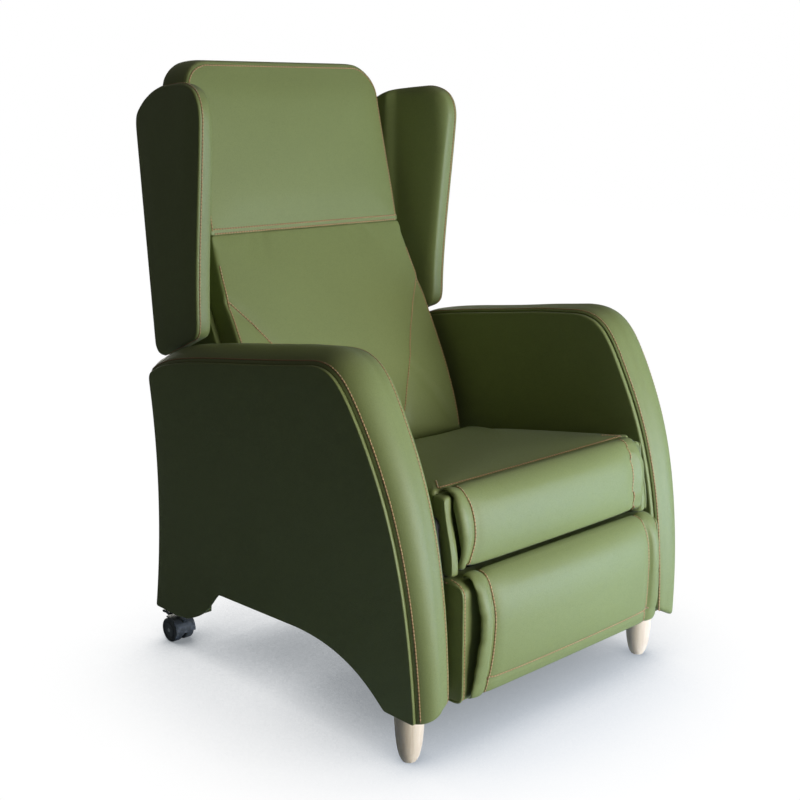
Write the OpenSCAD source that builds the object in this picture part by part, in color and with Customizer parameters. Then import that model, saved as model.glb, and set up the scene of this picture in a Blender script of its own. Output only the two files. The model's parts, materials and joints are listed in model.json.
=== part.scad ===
// Wing-back care recliner with a synchronised leg rest, two turned feet and two braked castors.
// X is the width, the chair faces -Y, Z is up. The origin is on the floor under the middle of the
// chair. Left and right are the sitter's own, so left is +X.

/* [Overall] */
// Depth from the leg-rest pad to the back of the head
overall_depth = 880; // [860:1:920]
// Height to the top of the head cushion
overall_height = 1150; // [1110:1:1200]

/* [Arms] */
// Clear width between the inner seams of the two arms
arm_gap = 574; // [560:1:620]
// Height of the outer arm seam at the front of the arm rest
arm_height = 658; // [645:1:680]
// Height of the outer arm seam at the back corner
arm_rear_height = 574; // [560:1:580]
// Distance of the front arm seam from the middle of the chair
arm_front = 383; // [380:1:395]
// Distance of the rear arm corner from the middle of the chair
arm_rear = 318; // [312:1:322]
// How far the rear leg kicks out behind the rear arm corner
rear_leg_kick = 50; // [30:1:60]
// Thickness of the arm at its foot
arm_foot_width = 65; // [62:1:80]
// Outward lean of the outer arm face, degrees
arm_lean = 3.3; // [0:0.1:4]
// How much the inner arm seam stands above and in front of the outer one
arm_slant = 12; // [6:1:14]
// Thickness of the padded band over the arm edge
band_thickness = 12; // [9:1:14]
// Crown of the padded band
band_crown = 14; // [8:0.5:16]
// Thickness of the upholstered outer panel
outer_panel = 6; // [4:0.5:8]
// Thickness of the padded inner panel
inner_panel = 8; // [6:0.5:9]
// Thickness of the side frame board
side_board = 18; // [15:1:25]
// Width of the timber ring inside each arm
ring_width = 48; // [40:1:55]
// Height of the arch cut in the lower edge of each arm
arch_height = 173; // [165:1:180]

/* [Feet and castors] */
// Height of the turned front feet
foot_height = 91; // [85:1:100]
// Diameter of a front foot at its top
foot_top_d = 52; // [46:1:56]
// Diameter of a front foot where it meets the floor
foot_tip_d = 24; // [18:1:30]
// Distance of the front feet from the middle of the chair, front to back
foot_y = 335; // [325:1:340]
// Height of the castor mounting face above the floor
castor_height = 76; // [74:1:80]
// Diameter of a castor wheel
castor_wheel_d = 50; // [46:1:50]
// Width of one castor wheel
castor_wheel_w = 18.5; // [15:0.5:20]
// Distance from the castor's swivel axis to its wheel axle
castor_trail = 22; // [18:1:23]
// Distance of the castor swivel axis from the middle of the chair, front to back
castor_y = 328; // [315:1:328]

/* [Seat] */
// Height of the front seat seam
seat_height = 460; // [450:1:480]
// Distance of the front seat seam from the middle of the chair
seat_front = 334; // [328:1:340]
// Backward slope of the seat, degrees
seat_slope = 8; // [5:0.5:9]
// Length of the seat cushion
seat_length = 425; // [400:1:430]
// Width of the seat cushion
seat_width = 522; // [490:1:524]
// Thickness of the seat cushion
seat_thickness = 81; // [70:1:90]
// Crown of the seat cushion
seat_crown = 6; // [0:1:10]
// Height of the seat frame rails
seat_rail_h = 45; // [40:1:50]
// Thickness of the seat frame rails
seat_rail_t = 22; // [18:1:26]
// Depth of the facing board in front of the seat frame
facing_depth = 18; // [15:1:20]
// Width of the front pads of the seat and the leg rest
front_pad_width = 492; // [460:1:500]
// Depth of the front seat pad at its middle
front_pad_depth = 36; // [28:1:38]

/* [Back] */
// Distance of the recline axis behind the middle of the chair
recline_y = 207; // [203:1:212]
// Height of the recline axis
recline_z = 360; // [355:1:365]
// Width of the back cushions
back_width = 500; // [470:1:510]
// Width over the back frame
back_frame_width = 534; // [526:1:536]
// Height of the seam between the lumbar and the head cushion
back_seam_height = 823; // [800:1:840]
// Thickness of the back frame cheeks with their side covers
cheek_thickness = 22; // [18:1:26]
// Thickness of the upholstered side covers of the back
side_cover_t = 3; // [2:0.5:4]
// Thickness of the rear cover panel
rear_cover_t = 12; // [8:1:14]
// Rake of the rear cover, degrees from vertical
rear_rake = 5.5; // [4:0.5:6.5]
// Thickness of a wing at its front edge
wing_thickness = 37; // [34:1:42]
// Thickness of a wing at its rear edge
wing_rear_thickness = 43; // [40:1:46]
// Outward splay of the wings, degrees
wing_splay = 5.7; // [4:0.1:7]
// Thickness of a wing's plywood core
wing_core = 13; // [10:1:15]

/* [Leg rest] */
// Distance of the leg-rest axis from the middle of the chair
leg_pivot_y = 335; // [332:1:338]
// Height of the leg-rest axis
leg_pivot_z = 400; // [398:1:404]
// Height of the top of the leg-rest box
leg_box_top = 309; // [300:1:310]
// Height of the bottom of the leg-rest box
leg_box_bottom = 106; // [100:1:120]
// Depth of the leg-rest box
leg_box_depth = 75; // [65:1:80]
// Depth of the leg-rest pad at its middle
leg_pad_depth = 35; // [30:1:38]

/* [Mechanism] */
// Thickness of the steel hinge plates
plate_t = 4; // [3:0.5:4.5]
// Radius of the main pivot bolts
pivot_r = 6; // [5:0.5:7]
// Radius of the linkage pins
pin_r = 4; // [3:0.5:5]
// Radial running clearance of the pivots
running = 0.05; // [0.03:0.01:0.08]
// Radius of the gas spring cylinder
gas_r = 11; // [9:1:12]

/* [Hidden] */
$fn = 48;

// Colours
leatherette = [0.44, 0.52, 0.34];
timber = [0.78, 0.66, 0.48];
beech = [0.84, 0.74, 0.62];
steel = [0.55, 0.56, 0.58];
black_steel = [0.16, 0.16, 0.17];
webbing = [0.72, 0.68, 0.58];
felt = [0.12, 0.12, 0.13];
castor_grey = [0.25, 0.28, 0.31];

// Gap between soft neighbours
ease = 0.3;
// A length that is longer than the whole chair
far = 1500;

// Side to side layers, from the seat to the arm
seam_x = arm_gap / 2;
panel_x = seam_x - inner_panel;
plate_x = back_frame_width / 2;
plate_out_x = plate_x + plate_t;
rod_gap = 0.6;
rod_x = plate_out_x + rod_gap;
rod_t = 4;
rod_out_x = rod_x + rod_t;
bracket_t = 3;
bracket_gap = 1;
bracket_x = plate_x - bracket_gap - bracket_t;
pin_head = 1.4;

// Front and rear of the whole chair
front_y = -overall_depth / 2;
rear_y = overall_depth / 2;

// Curves
function lerp(a, b, t) = a + (b - a) * t;
function bez2(a, b, c, n, first = 0) =
    [for (i = [first : n]) let (t = i / n, u = 1 - t) u * u * a + 2 * u * t * b + t * t * c];
function bez3(a, b, c, d, n, first = 0) =
    [for (i = [first : n]) let (t = i / n, u = 1 - t)
        u * u * u * a + 3 * u * u * t * b + 3 * u * t * t * c + t * t * t * d];
function tangent(path, i) = path[min(i + 1, len(path) - 1)] - path[max(i - 1, 0)];
// Normal on the right of the way the path runs, which is the outside here
function normal(path, i) = let (d = tangent(path, i)) [d.y, -d.x] / norm(d);
function inset(path, d) = [for (i = [0 : len(path) - 1]) path[i] - d * normal(path, i)];
function flat(rows) = [for (row = rows) each row];
// Height lost at a rolled edge of radius r, at distance d from the edge
function drop(d, r) = d >= r ? 0 : r - sqrt(max(0, r * r - (r - d) * (r - d)));
// Stations from a to b, closer together in the rolled edges
function stations(a, b, r, n, k = 3) = concat(
    [for (i = [0 : k]) a + r * (1 - cos(90 * i / k))],
    [for (i = [1 : n]) a + r + (b - a - 2 * r) * i / (n + 1)],
    [for (i = [k : -1 : 0]) b - r * (1 - cos(90 * i / k))]);
// A bump that is 1 at the middle of a to b and 0 at both ends
function bump(v, a, b) = let (s = (2 * v - a - b) / (b - a)) max(0, 1 - s * s);

// A closed solid between two grids of points that have the same rows and columns
module between(front, back) {
    n = len(front);
    m = len(front[0]);
    o = n * m;
    faces = concat(
        [for (i = [0 : n - 2], j = [0 : m - 2]) each
            [[i * m + j, (i + 1) * m + j, i * m + j + 1],
             [(i + 1) * m + j, (i + 1) * m + j + 1, i * m + j + 1]]],
        [for (i = [0 : n - 2], j = [0 : m - 2]) each
            [[o + i * m + j, o + i * m + j + 1, o + (i + 1) * m + j],
             [o + (i + 1) * m + j, o + i * m + j + 1, o + (i + 1) * m + j + 1]]],
        [for (i = [0 : n - 2]) each
            [[i * m, o + i * m, (i + 1) * m],
             [(i + 1) * m, o + i * m, o + (i + 1) * m],
             [i * m + m - 1, (i + 1) * m + m - 1, o + i * m + m - 1],
             [(i + 1) * m + m - 1, o + (i + 1) * m + m - 1, o + i * m + m - 1]]],
        [for (j = [0 : m - 2]) each
            [[j, j + 1, o + j],
             [j + 1, o + j + 1, o + j],
             [o - m + j, 2 * o - m + j, o - m + j + 1],
             [o - m + j + 1, 2 * o - m + j, 2 * o - m + j + 1]]]);
    polyhedron(points = concat(flat(front), flat(back)), faces = faces);
}

// Builders that work across the chair: [y, z] outlines and round bars along X
module slab(x0, x1, outline) {
    translate([x0, 0, 0]) rotate([90, 0, 90]) linear_extrude(x1 - x0) polygon(outline);
}
module bar(x0, x1, at, r) {
    translate([x0, at.x, at.y]) rotate([0, 90, 0]) cylinder(h = x1 - x0, r = r);
}
// Outline of a flat bar with round ends, its corners at whole steps of the circle
round_step = 15;
function round_end(c, r, from) = let (first = ceil(from / round_step) * round_step)
    [for (t = [first : round_step : from + 179.9]) c + r * [cos(t), sin(t)]];
function bar_outline(a, b, r) = let (d = atan2(b.y - a.y, b.x - a.x))
    concat(round_end(b, r, d - 90), round_end(a, r, d + 90));
module strap(x0, x1, a, b, r) {
    slab(x0, x1, bar_outline(a, b, r));
}
module on_side(side) {
    if (side > 0) children();
    else mirror([1, 0, 0]) children();
}
module both_sides() {
    children();
    mirror([1, 0, 0]) children();
}

// Arm outline, from the back of the rear leg over the arm rest to the front of the front leg.
// up, ahead and behind move the top, the front and the rear of it outward.
leg_bottom = castor_height;
rear_leg_y = arm_rear + rear_leg_kick;
rear_waist_y = arm_rear - 13;
rear_waist_z = 330;
corner_run = 18;
arm_nose_y = 170 - arm_front + 43;
function arm_path(up, ahead, behind) = let (
    rear_top = [arm_rear + behind, arm_rear_height - corner_run + up],
    corner = [arm_rear + behind, arm_rear_height + up],
    top_start = [arm_rear - corner_run, arm_rear_height + 4 + up],
    nose_start = [arm_nose_y, arm_height + up],
    nose_end = [-arm_front + 98 - ahead, arm_height - 90],
    foot = [-arm_front - ahead, foot_height])
    concat(
        bez2([rear_leg_y + behind, leg_bottom], [rear_waist_y + behind, rear_waist_z], rear_top, 5),
        bez2(rear_top, corner, top_start, 3, 1),
        bez3(top_start, [arm_rear - 78, arm_rear_height + 40 + up], [80, arm_height - 38 + up],
            nose_start, 6, 1),
        bez3(nose_start, [arm_nose_y - 54 - ahead, arm_height + 6 + up],
            [arm_nose_y - 75 - ahead, arm_height - 18 + up / 2], nose_end, 5, 1),
        bez3(nose_end, [-arm_front + 37 - ahead, arm_height - 203],
            [-arm_front + 1 - ahead, arm_height - 328], foot, 6, 1));
// The lower edge, from the front foot over the arch to the castor
toe_flat_y = -arm_front + 72;
heel_flat_y = castor_y - 30;
arch_lower = concat(
    bez3([toe_flat_y, foot_height], [toe_flat_y + 41, foot_height + 39],
        [toe_flat_y + 96, arch_height], [toe_flat_y + 221, arch_height], 6),
    bez3([heel_flat_y - 153, arch_height - 8], [heel_flat_y - 128, arch_height - 20],
        [heel_flat_y - 103, leg_bottom + 8], [heel_flat_y, leg_bottom], 6));
outer_path = arm_path(0, 0, 0);
inner_path = arm_path(arm_slant, arm_slant, 0);
core_edge = [for (p = inset(outer_path, band_thickness + ease)) [p.x, max(p.y, leg_bottom)]];
core_last = len(core_edge) - 1;
toe = core_edge[core_last];
core_path = concat(
    [for (i = [0 : core_last - 1]) core_edge[i]],
    [lerp(core_edge[core_last - 1], toe, 0.7) + [ease, 0], [toe.x + 8, foot_height]]);
function closed_arm(path) = concat(path, arch_lower);
// The frame under the cover stands back from the arch ahead of the castor: only the cover's edge shows there
core_heel_run = 66;
arch_core = concat(
    [for (p = arch_lower) if (p.x < heel_flat_y - 152) p],
    [[castor_y - core_heel_run, arch_height - 33], [castor_y - core_heel_run + 8, leg_bottom]]);

// The leaning outer face of the arm
lean_x0 = seam_x + arm_foot_width - foot_height * tan(arm_lean);
function lean_x(z) = lean_x0 + z * tan(arm_lean);
module inside_lean(d) {
    intersection() {
        children();
        translate([lean_x0, 0, 0]) rotate([0, arm_lean, 0])
            translate([-far - d, -far, -far]) cube([far, 2 * far, 2 * far]);
    }
}

// Places that several pieces share
// The pivots ride up and down with the seat: their heights are given for this seat height
pivots_drawn_at = 460;
seat_rise = seat_height - pivots_drawn_at;
recline = [recline_y, recline_z + seat_rise];
leg_pivot = [-leg_pivot_y, leg_pivot_z + seat_rise];
foot_x = seam_x + foot_top_d / 2 + 2;
castor_x = foot_x;

// Seat frame of reference: the front seam, with Y along the seat and Z square to it
module on_seat() {
    translate([0, -seat_front, seat_height]) rotate([-seat_slope, 0, 0]) children();
}
function seat_point(y, z) = [
    -seat_front + y * cos(seat_slope) + z * sin(seat_slope),
    seat_height - y * sin(seat_slope) + z * cos(seat_slope)];
web_t = 2;
web_low = -seat_thickness - ease - web_t;
rail_low = web_low - seat_rail_h;
cross_rail_h = 26;
cross_rail_w = 40;
front_rail_at = 45;
rear_rail_at = seat_length - 125;
rail_centre = rail_low - cross_rail_h / 2;
front_rail_c = seat_point(front_rail_at + cross_rail_w / 2, rail_centre);
rear_rail_c = seat_point(rear_rail_at + cross_rail_w / 2, rail_centre);
tie_w = 26;
tie_h = 70;
tie_c = [arm_rear - 34, leg_bottom + 89];
rail_bolt_r = 4;
rail_bolt_head_r = 8;
rail_bolt_head = 4;
rail_bolt_reach = 36;
bolt_places = [front_rail_c, rear_rail_c, tie_c];

// Side frame: a board with a glued timber ring that carries the band and the outer panel
pad_clear_r = 14;
window_floor = arch_height + ring_width;
ring_inset = band_thickness + ring_width;
function clear_of(p, path, d) = min([for (q = path) norm(p - q)]) > d - 1;
window_edge = [for (p = inset(outer_path, ring_inset))
    if (p.y > window_floor && clear_of(p, outer_path, ring_inset)
        && (p.y < arm_rear_height - ring_inset || p.x < arm_rear - ring_inset - 8)) p];
window_path = concat([[window_edge[0].x, window_floor]], window_edge,
    [[window_edge[len(window_edge) - 1].x, window_floor]]);
module side_frame() {
    board_out = seam_x + side_board;
    difference() {
        inside_lean(outer_panel + ease / 3) slab(seam_x, seam_x + far / 10, concat(core_path, arch_core));
        slab(board_out, seam_x + far / 5, window_path);
        bar(seam_x - 1, board_out + 1, recline, pivot_r);
        for (p = bolt_places) {
            bar(seam_x - 1, board_out + 1, p, rail_bolt_r);
            bar(board_out, seam_x + far / 5, p, rail_bolt_head_r + 1);
        }
        translate([foot_x, -foot_y, 0]) cylinder(h = foot_bolt_top, r = foot_bolt_r);
        translate([castor_x, castor_y, 0]) cylinder(h = castor_height + castor_socket, r = castor_pin_r);
    }
}

// Padded band over the rear, top and front edges of the arm, drawn up at its inner front foot
foot_lift = 26;
module arm_band() {
    columns = 6;
    outer_x = [for (p = outer_path) lean_x(p.y) - outer_panel - ease];
    front = [for (i = [0 : len(outer_path) - 1])
        [for (j = [0 : columns]) let (
            s = j / columns,
            q = lerp(inner_path[i], outer_path[i], s),
            n = normal(outer_path, i),
            c = q + n * band_crown * pow(bump(s, 0, 1), 0.6),
            lift = foot_lift * pow(1 - s, 2) + foot_lift / 4 * pow(s, 8))
            [lerp(seam_x, outer_x[i], s), c.x, max(c.y, i < 2 ? leg_bottom : foot_height + lift)]]];
    back = [for (i = [0 : len(outer_path) - 1])
        [for (j = [0 : columns]) let (
            s = j / columns,
            q = outer_path[i] - normal(outer_path, i) * band_thickness)
            [lerp(seam_x, lean_x(q.y) - outer_panel - ease, s), q.x,
             max(q.y, q.x > 0 ? leg_bottom : foot_height)]]];
    between(back, front);
}

module arm_outer_panel() {
    translate([lean_x0, 0, 0]) rotate([0, arm_lean, 0])
        slab(-outer_panel, 0, [for (p = closed_arm(outer_path)) [p.x, p.y / cos(arm_lean)]]);
}

// Padded inner panel: it ends above the rails and keeps a leg down beside the leg rest
panel_leg = 62;
panel_foot = foot_height + 24;
module arm_inner_panel() {
    edge = inset(inner_path, 2);
    low_front = seat_point(25, rail_low + 4);
    low_rear = seat_point(630, rail_low + 4);
    body = [for (p = edge) if (p.x < 0 || p.y > low_rear.y + 20) p];
    difference() {
        slab(panel_x, seam_x, concat([for (p = body) [p.x, max(p.y, panel_foot)]], [
            [-arm_front + panel_leg, panel_foot],
            [-arm_front + panel_leg, low_front.y],
            low_rear]));
        bar(panel_x - 1, seam_x + 1, recline, pad_clear_r);
    }
}

// Rails between the two side frames
module cross_rail(at) {
    on_seat() translate([-seam_x, at, rail_low - cross_rail_h])
        cube([2 * seam_x, cross_rail_w, cross_rail_h]);
}
module rail_bores(p) {
    both_sides() bar(seam_x - rail_bolt_reach, seam_x + 1, p, rail_bolt_r);
}
module front_cross_rail() {
    color(timber) difference() {
        cross_rail(front_rail_at);
        rail_bores(front_rail_c);
    }
}
module rear_cross_rail() {
    color(timber) difference() {
        cross_rail(rear_rail_at);
        rail_bores(rear_rail_c);
    }
}
module rear_tie_rail() {
    color(timber) difference() {
        translate([-seam_x, tie_c.x - tie_w / 2, tie_c.y - tie_h / 2]) cube([2 * seam_x, tie_w, tie_h]);
        rail_bores(tie_c);
    }
}
module rail_bolts() {
    head_x = seam_x + side_board;
    color(steel) both_sides() for (p = bolt_places) {
        bar(seam_x - rail_bolt_reach, head_x, p, rail_bolt_r);
        bar(head_x, head_x + rail_bolt_head, p, rail_bolt_head_r);
    }
}

// Seat
frame_half = bracket_x;
frame_front = 14;
seat_end = seat_length - 5;
frame_depth = seat_end - frame_front;
module seat_frame() {
    inner = frame_half - seat_rail_t;
    color(timber) on_seat() difference() {
        translate([-frame_half, frame_front, rail_low]) cube([2 * frame_half, frame_depth, seat_rail_h]);
        translate([-inner, frame_front + seat_rail_t, rail_low - 1])
            cube([2 * inner, frame_depth - 2 * seat_rail_t, seat_rail_h + 2]);
    }
}
strap_count = 6;
strap_w = 50;
module seat_webbing() {
    half = frame_half - 3;
    pitch = (frame_depth - 2 * seat_rail_t) / strap_count;
    color(webbing) on_seat() for (i = [0 : strap_count - 1])
        translate([-half, frame_front + seat_rail_t + pitch * (i + 0.5) - strap_w / 2, web_low])
            cube([2 * half, strap_w, web_t]);
}
module seat_cushion() {
    half = seat_width / 2;
    roll = 16;
    pull = 3;
    xs = stations(-half, half, roll, 5);
    ys = stations(1, seat_length, roll, 5);
    function draw_x(x, y) = x * (1 - pull / half * bump(y, 1, seat_length));
    function top_z(x, y) = let (
        dx = drop(half - abs(x), roll),
        dy = drop(min(y - 1, seat_length - y), roll))
        seat_crown * bump(x, -half, half) * bump(y, 1, seat_length) - min(roll, norm([dx, dy]));
    front = [for (y = ys) [for (x = xs) [draw_x(x, y), y, top_z(x, y)]]];
    back = [for (y = ys) [for (x = xs) let (
        dx = drop(half - abs(x), roll / 2),
        dy = drop(min(y - 1, seat_length - y), roll / 2))
        [draw_x(x, y), y, -seat_thickness + min(roll / 2, norm([dx, dy]))]]];
    color(leatherette) on_seat() between(front, back);
}
facing_rear = -seat_front - ease;
facing_front = facing_rear - facing_depth;
facing_low = seat_point(frame_front, rail_low).y;
facing_drop = 9;
module seat_facing() {
    r = facing_drop;
    top = seat_height - facing_drop;
    step_z = web_low - 2 * ease;
    color(leatherette) slab(-frame_half + 1, frame_half - 1, concat(
        [[facing_front, facing_low], seat_point(frame_front - ease, rail_low),
         seat_point(frame_front - ease, step_z), seat_point(1 - ease, step_z),
         seat_point(1 - ease, -facing_drop)],
        [for (a = [90 : -15 : 0]) [facing_front + r, top - r] + r * [-cos(a), sin(a)]]));
}
// A front pad: rows run down the profile, columns across the width
module front_pad(profile, backing, half, crown, roll) {
    xs = stations(-half, half, roll, 5);
    rows = len(profile) - 1;
    front = [for (i = [0 : rows]) let (n = normal(profile, i))
        [for (x = xs) let (
            p = profile[i] + n * (crown * bump(x, -half, half) * bump(i, 0, rows)
                - drop(half - abs(x), roll) * 0.8 * bump(i, 0, rows)))
            [x, p.x, p.y]]];
    back = [for (i = [0 : rows]) [for (x = xs) [x, backing[i].x, backing[i].y]]];
    between(back, front);
}
pad_half = front_pad_width / 2;
module seat_front_pad() {
    nose = facing_front - front_pad_depth + 8;
    low = facing_low - 3;
    back_y = facing_front - ease;
    lip = seat_height - facing_drop + 1;
    profile = concat(
        bez3([facing_rear - 3, seat_height], [facing_front - 15, seat_height + 6],
            [nose - 15, seat_height - 40], [nose + 4, low + 6], 8),
        bez2([nose + 4, low + 6], [nose + 6, low], [back_y - 4, low], 2, 1));
    backing = concat(
        [[facing_rear - 3, lip], [facing_rear - 9, lip], [back_y, lip]],
        [for (i = [1 : 8]) [back_y, lerp(lip, low + 1, i / 8)]]);
    color(leatherette) front_pad(profile, backing, pad_half, 5, 14);
}
module seat_dust_cover() {
    inset_y = front_rail_at + cross_rail_w + 2;
    color(felt) on_seat() translate([-frame_half + 4, inset_y, rail_low - 1])
        cube([2 * frame_half - 8, rear_rail_at - inset_y - 2, 1]);
}

// Leg-rest pivots on the seat frame, each with its riveted pin
pivot_head_r = 9;
module leg_rest_brackets() {
    knee = seat_point(30, rail_low + 20);
    color(black_steel) both_sides() {
        strap(bracket_x, bracket_x + bracket_t, leg_pivot, knee, 16);
        strap(bracket_x, bracket_x + bracket_t, knee, seat_point(75, rail_low + 20), 16);
        bar(bracket_x + bracket_t / 2, plate_out_x + rod_gap / 2, leg_pivot, pivot_r);
        bar(plate_out_x + rod_gap / 2, plate_out_x + 3, leg_pivot, pivot_head_r);
    }
}
bush_wall = 3;
bush_flange = 1.5;
module back_pivot_bolts() {
    inner_x = plate_x - cheek_thickness;
    color(steel) both_sides() {
        bar(inner_x - 2, seam_x + side_board, recline, pivot_r);
        bar(inner_x - 8, inner_x - 2, recline, pivot_r + 5);
        bar(plate_out_x + bush_flange + 0.5, seam_x, recline, pivot_r + 4);
    }
}

// Turned beech feet
foot_bolt_r = 4;
foot_bolt_low = 50;
foot_bolt_top = foot_height + 38;
module front_foot() {
    tip = foot_tip_d / 2;
    top = foot_top_d / 2;
    difference() {
        translate([foot_x, -foot_y, 0]) rotate_extrude() polygon(concat(
            [[0, 0]],
            bez3([tip, 0], [top - 6, foot_height * 0.1], [top - 1, foot_height * 0.4],
                [top, foot_height], 8),
            [[0, foot_height]]));
        translate([foot_x, -foot_y, foot_bolt_low]) cylinder(h = foot_height, r = foot_bolt_r);
    }
}
module foot_bolts() {
    color(steel) both_sides() translate([foot_x, -foot_y, foot_bolt_low])
        cylinder(h = foot_bolt_top - foot_bolt_low, r = foot_bolt_r);
}

// Castors. Their own place: the swivel axis, with the axle behind it.
castor_pin_r = 5.5;
castor_socket = 25;
plate_half = 25;
castor_plate_t = 3;
stem_low = 52;
wheel_r = castor_wheel_d / 2;
web_half = 3.4;
wheel_gap = 0.6;
wheel_in = web_half + wheel_gap;
wheel_out = wheel_in + castor_wheel_w;
axle_r = 4;
hood_gap = 1.6;
hood_t = 3;
hood_r = wheel_r + hood_gap;
hood_top = castor_height - castor_plate_t - 3.5;
brake_reach = hood_r + hood_t + 1.5;
brake_angle = 60;
brake_at = [castor_trail + brake_reach * cos(brake_angle), wheel_r + brake_reach * sin(brake_angle)];
brake_pin_r = 2;
module at_castor() {
    translate([castor_x, castor_y, 0]) children();
}
module castor_mount() {
    at_castor() {
        translate([-plate_half, -plate_half, castor_height - castor_plate_t])
            cube([2 * plate_half, 2 * plate_half, castor_plate_t]);
        translate([0, 0, hood_top + 0.5]) cylinder(h = castor_height - hood_top - 1, r = 13);
        translate([0, 0, stem_low]) cylinder(h = castor_height - stem_low, r = castor_pin_r);
        translate([0, 0, castor_height - 1]) cylinder(h = castor_socket, r = castor_pin_r);
    }
}
module castor_hood() {
    axle = [castor_trail, wheel_r];
    boss_low = wheel_r + hood_r - 1;
    at_castor() difference() {
        union() {
            strap(-web_half, web_half, axle, [0, boss_low + 4], 9);
            bar(-web_half, web_half, axle, wheel_r - 5);
            strap(-web_half, web_half, axle, brake_at, 5);
            translate([0, 0, boss_low]) cylinder(h = hood_top - boss_low, r = 10);
            translate([0, axle.x, axle.y]) rotate([0, 90, 0]) rotate([0, 0, 90])
                translate([0, 0, -wheel_out]) rotate([0, 0, 75])
                rotate_extrude(angle = 110) translate([hood_r, 0]) square([hood_t, 2 * wheel_out]);
        }
        translate([0, 0, stem_low - 1]) cylinder(h = castor_height, r = castor_pin_r + running);
        bar(-far / 10, far / 10, axle, axle_r);
        bar(-web_half - 1, web_half + 1, brake_at, brake_pin_r + running);
    }
}
module castor_axle() {
    at_castor() bar(-wheel_out - 0.5, wheel_out + 0.5, [castor_trail, wheel_r], axle_r);
}
module castor_wheel() {
    edge = 3;
    translate([0, castor_trail, wheel_r]) rotate([0, 90, 0]) rotate_extrude() polygon(concat(
        [[axle_r + running, wheel_in], [wheel_r - edge, wheel_in]],
        [for (a = [0 : 30 : 90]) [wheel_r - edge + edge * sin(a), wheel_in + edge - edge * cos(a)]],
        [for (a = [0 : 30 : 90]) [wheel_r - edge + edge * cos(a), wheel_out - edge + edge * sin(a)]],
        [[wheel_r - 6, wheel_out], [wheel_r - 7.5, wheel_out - 1.5], [wheel_r - 9, wheel_out - 1.5],
         [wheel_r - 10, wheel_out], [axle_r + running, wheel_out]]));
}
module castor_brake() {
    half = 11;
    tab = brake_at + [21, 1];
    at_castor() {
        bar(-half, half, brake_at, brake_pin_r);
        both_sides() strap(web_half + 0.4, half, brake_at, brake_at + [9, 2], 3.5);
        strap(-half, half, brake_at + [10, 2], tab, 2.6);
    }
}

// Gas spring between the rear cross rail and the back frame
gas_low = rear_rail_c + [28, -38];
gas_high = recline + [5, -76];
gas_angle = atan2(gas_high.y - gas_low.y, gas_high.x - gas_low.x);
gas_length = norm(gas_high - gas_low);
gas_body = 118;
gas_rod_r = 5;
gas_eye_half = 7;
gas_play = 4.6;
gas_eye_hole = pin_r + gas_play;
ear_gap = 8.5;
ear_t = 4;
module gas_ears(at, other, r) {
    both_sides() strap(ear_gap, ear_gap + ear_t, at, other, r);
    bar(-ear_gap - ear_t, ear_gap + ear_t, at, pin_r);
}
module gas_spring_bracket() {
    low = rail_low - cross_rail_h;
    color(black_steel) difference() {
        union() {
            gas_ears(gas_low, seat_point(rear_rail_at + cross_rail_w - 12, low - 8), 11);
            on_seat() translate([-30, rear_rail_at, low - 4]) cube([60, cross_rail_w, 4]);
        }
        on_seat() translate([-50, rear_rail_at - 50, low]) cube([100, 150, 60]);
    }
}
module along_gas() {
    translate([0, gas_low.x, gas_low.y]) rotate([gas_angle, 0, 0]) children();
}
module gas_cylinder() {
    color(black_steel) along_gas() difference() {
        union() {
            rotate([0, 90, 0]) translate([0, 0, -gas_eye_half]) cylinder(h = 2 * gas_eye_half, r = 10);
            rotate([-90, 0, 0]) translate([0, 0, 6]) cylinder(h = 12, r = 6);
            rotate([-90, 0, 0]) translate([0, 0, 16]) cylinder(h = gas_body, r = gas_r);
        }
        rotate([0, 90, 0]) translate([0, 0, -20]) cylinder(h = 40, r = pin_r + running);
        rotate([-90, 0, 0]) translate([0, 0, 26]) cylinder(h = gas_body, r = gas_rod_r + running);
    }
}
gas_rod_start = 84;
module gas_rod() {
    color(steel) along_gas() difference() {
        union() {
            rotate([-90, 0, 0]) translate([0, 0, gas_rod_start])
                cylinder(h = gas_length - gas_rod_start - gas_eye_hole - 2, r = gas_rod_r);
            rotate([0, 90, 0]) translate([0, -0, -gas_eye_half])
                translate([0, gas_length, 0]) cylinder(h = 2 * gas_eye_half, r = gas_eye_hole + 5);
        }
        rotate([0, 90, 0]) translate([0, gas_length, -20]) cylinder(h = 40, r = gas_eye_hole);
    }
}

// Back. The front faces of the cushions, from the seat up.
// They follow the end of the seat below and the back of the chair above.
back_low_z = recline.y + 8;
back_low_y = seat_length - seat_front + 6;
back_seam_y = rear_y - 151;
head_top_y = rear_y - 78;
head_rear_r = 34;
lumbar_front = bez3([back_low_y, back_low_z], [back_low_y + 3, back_low_z + 132],
    [back_seam_y - 77, 655], [back_seam_y, back_seam_height], 8);
head_top_z = overall_height - 6;
head_front = bez3([back_seam_y, back_seam_height], [back_seam_y + 14, 900],
    [head_top_y - 24, 1020], [head_top_y, head_top_z], 8);
cheek_low_y = back_low_y + 75;
cheek_seam_y = back_seam_y + 59;
cheek_top_y = rear_y - 50;
cheek_low = bez3([cheek_low_y, back_low_z], [cheek_low_y + 7, back_low_z + 132],
    [cheek_seam_y - 73, 650], [cheek_seam_y, back_seam_height], 6);
core_top_z = overall_height - 62;
cheek_high = bez3([cheek_seam_y, back_seam_height], [cheek_seam_y + 9, 900],
    [cheek_top_y - 12, 1000], [cheek_top_y, core_top_z], 4);
function rear_line(z) = rear_y - (overall_height - head_rear_r - z) * tan(rear_rake);
function cover_line(z) = rear_line(z) - rear_cover_t;
function y_at(path, z) = let (
    k = max([0, for (i = [0 : len(path) - 2]) if (path[i].y <= z) i]),
    a = path[k], b = path[k + 1])
    lerp(a.x, b.x, (z - a.y) / (b.y - a.y));
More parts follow.
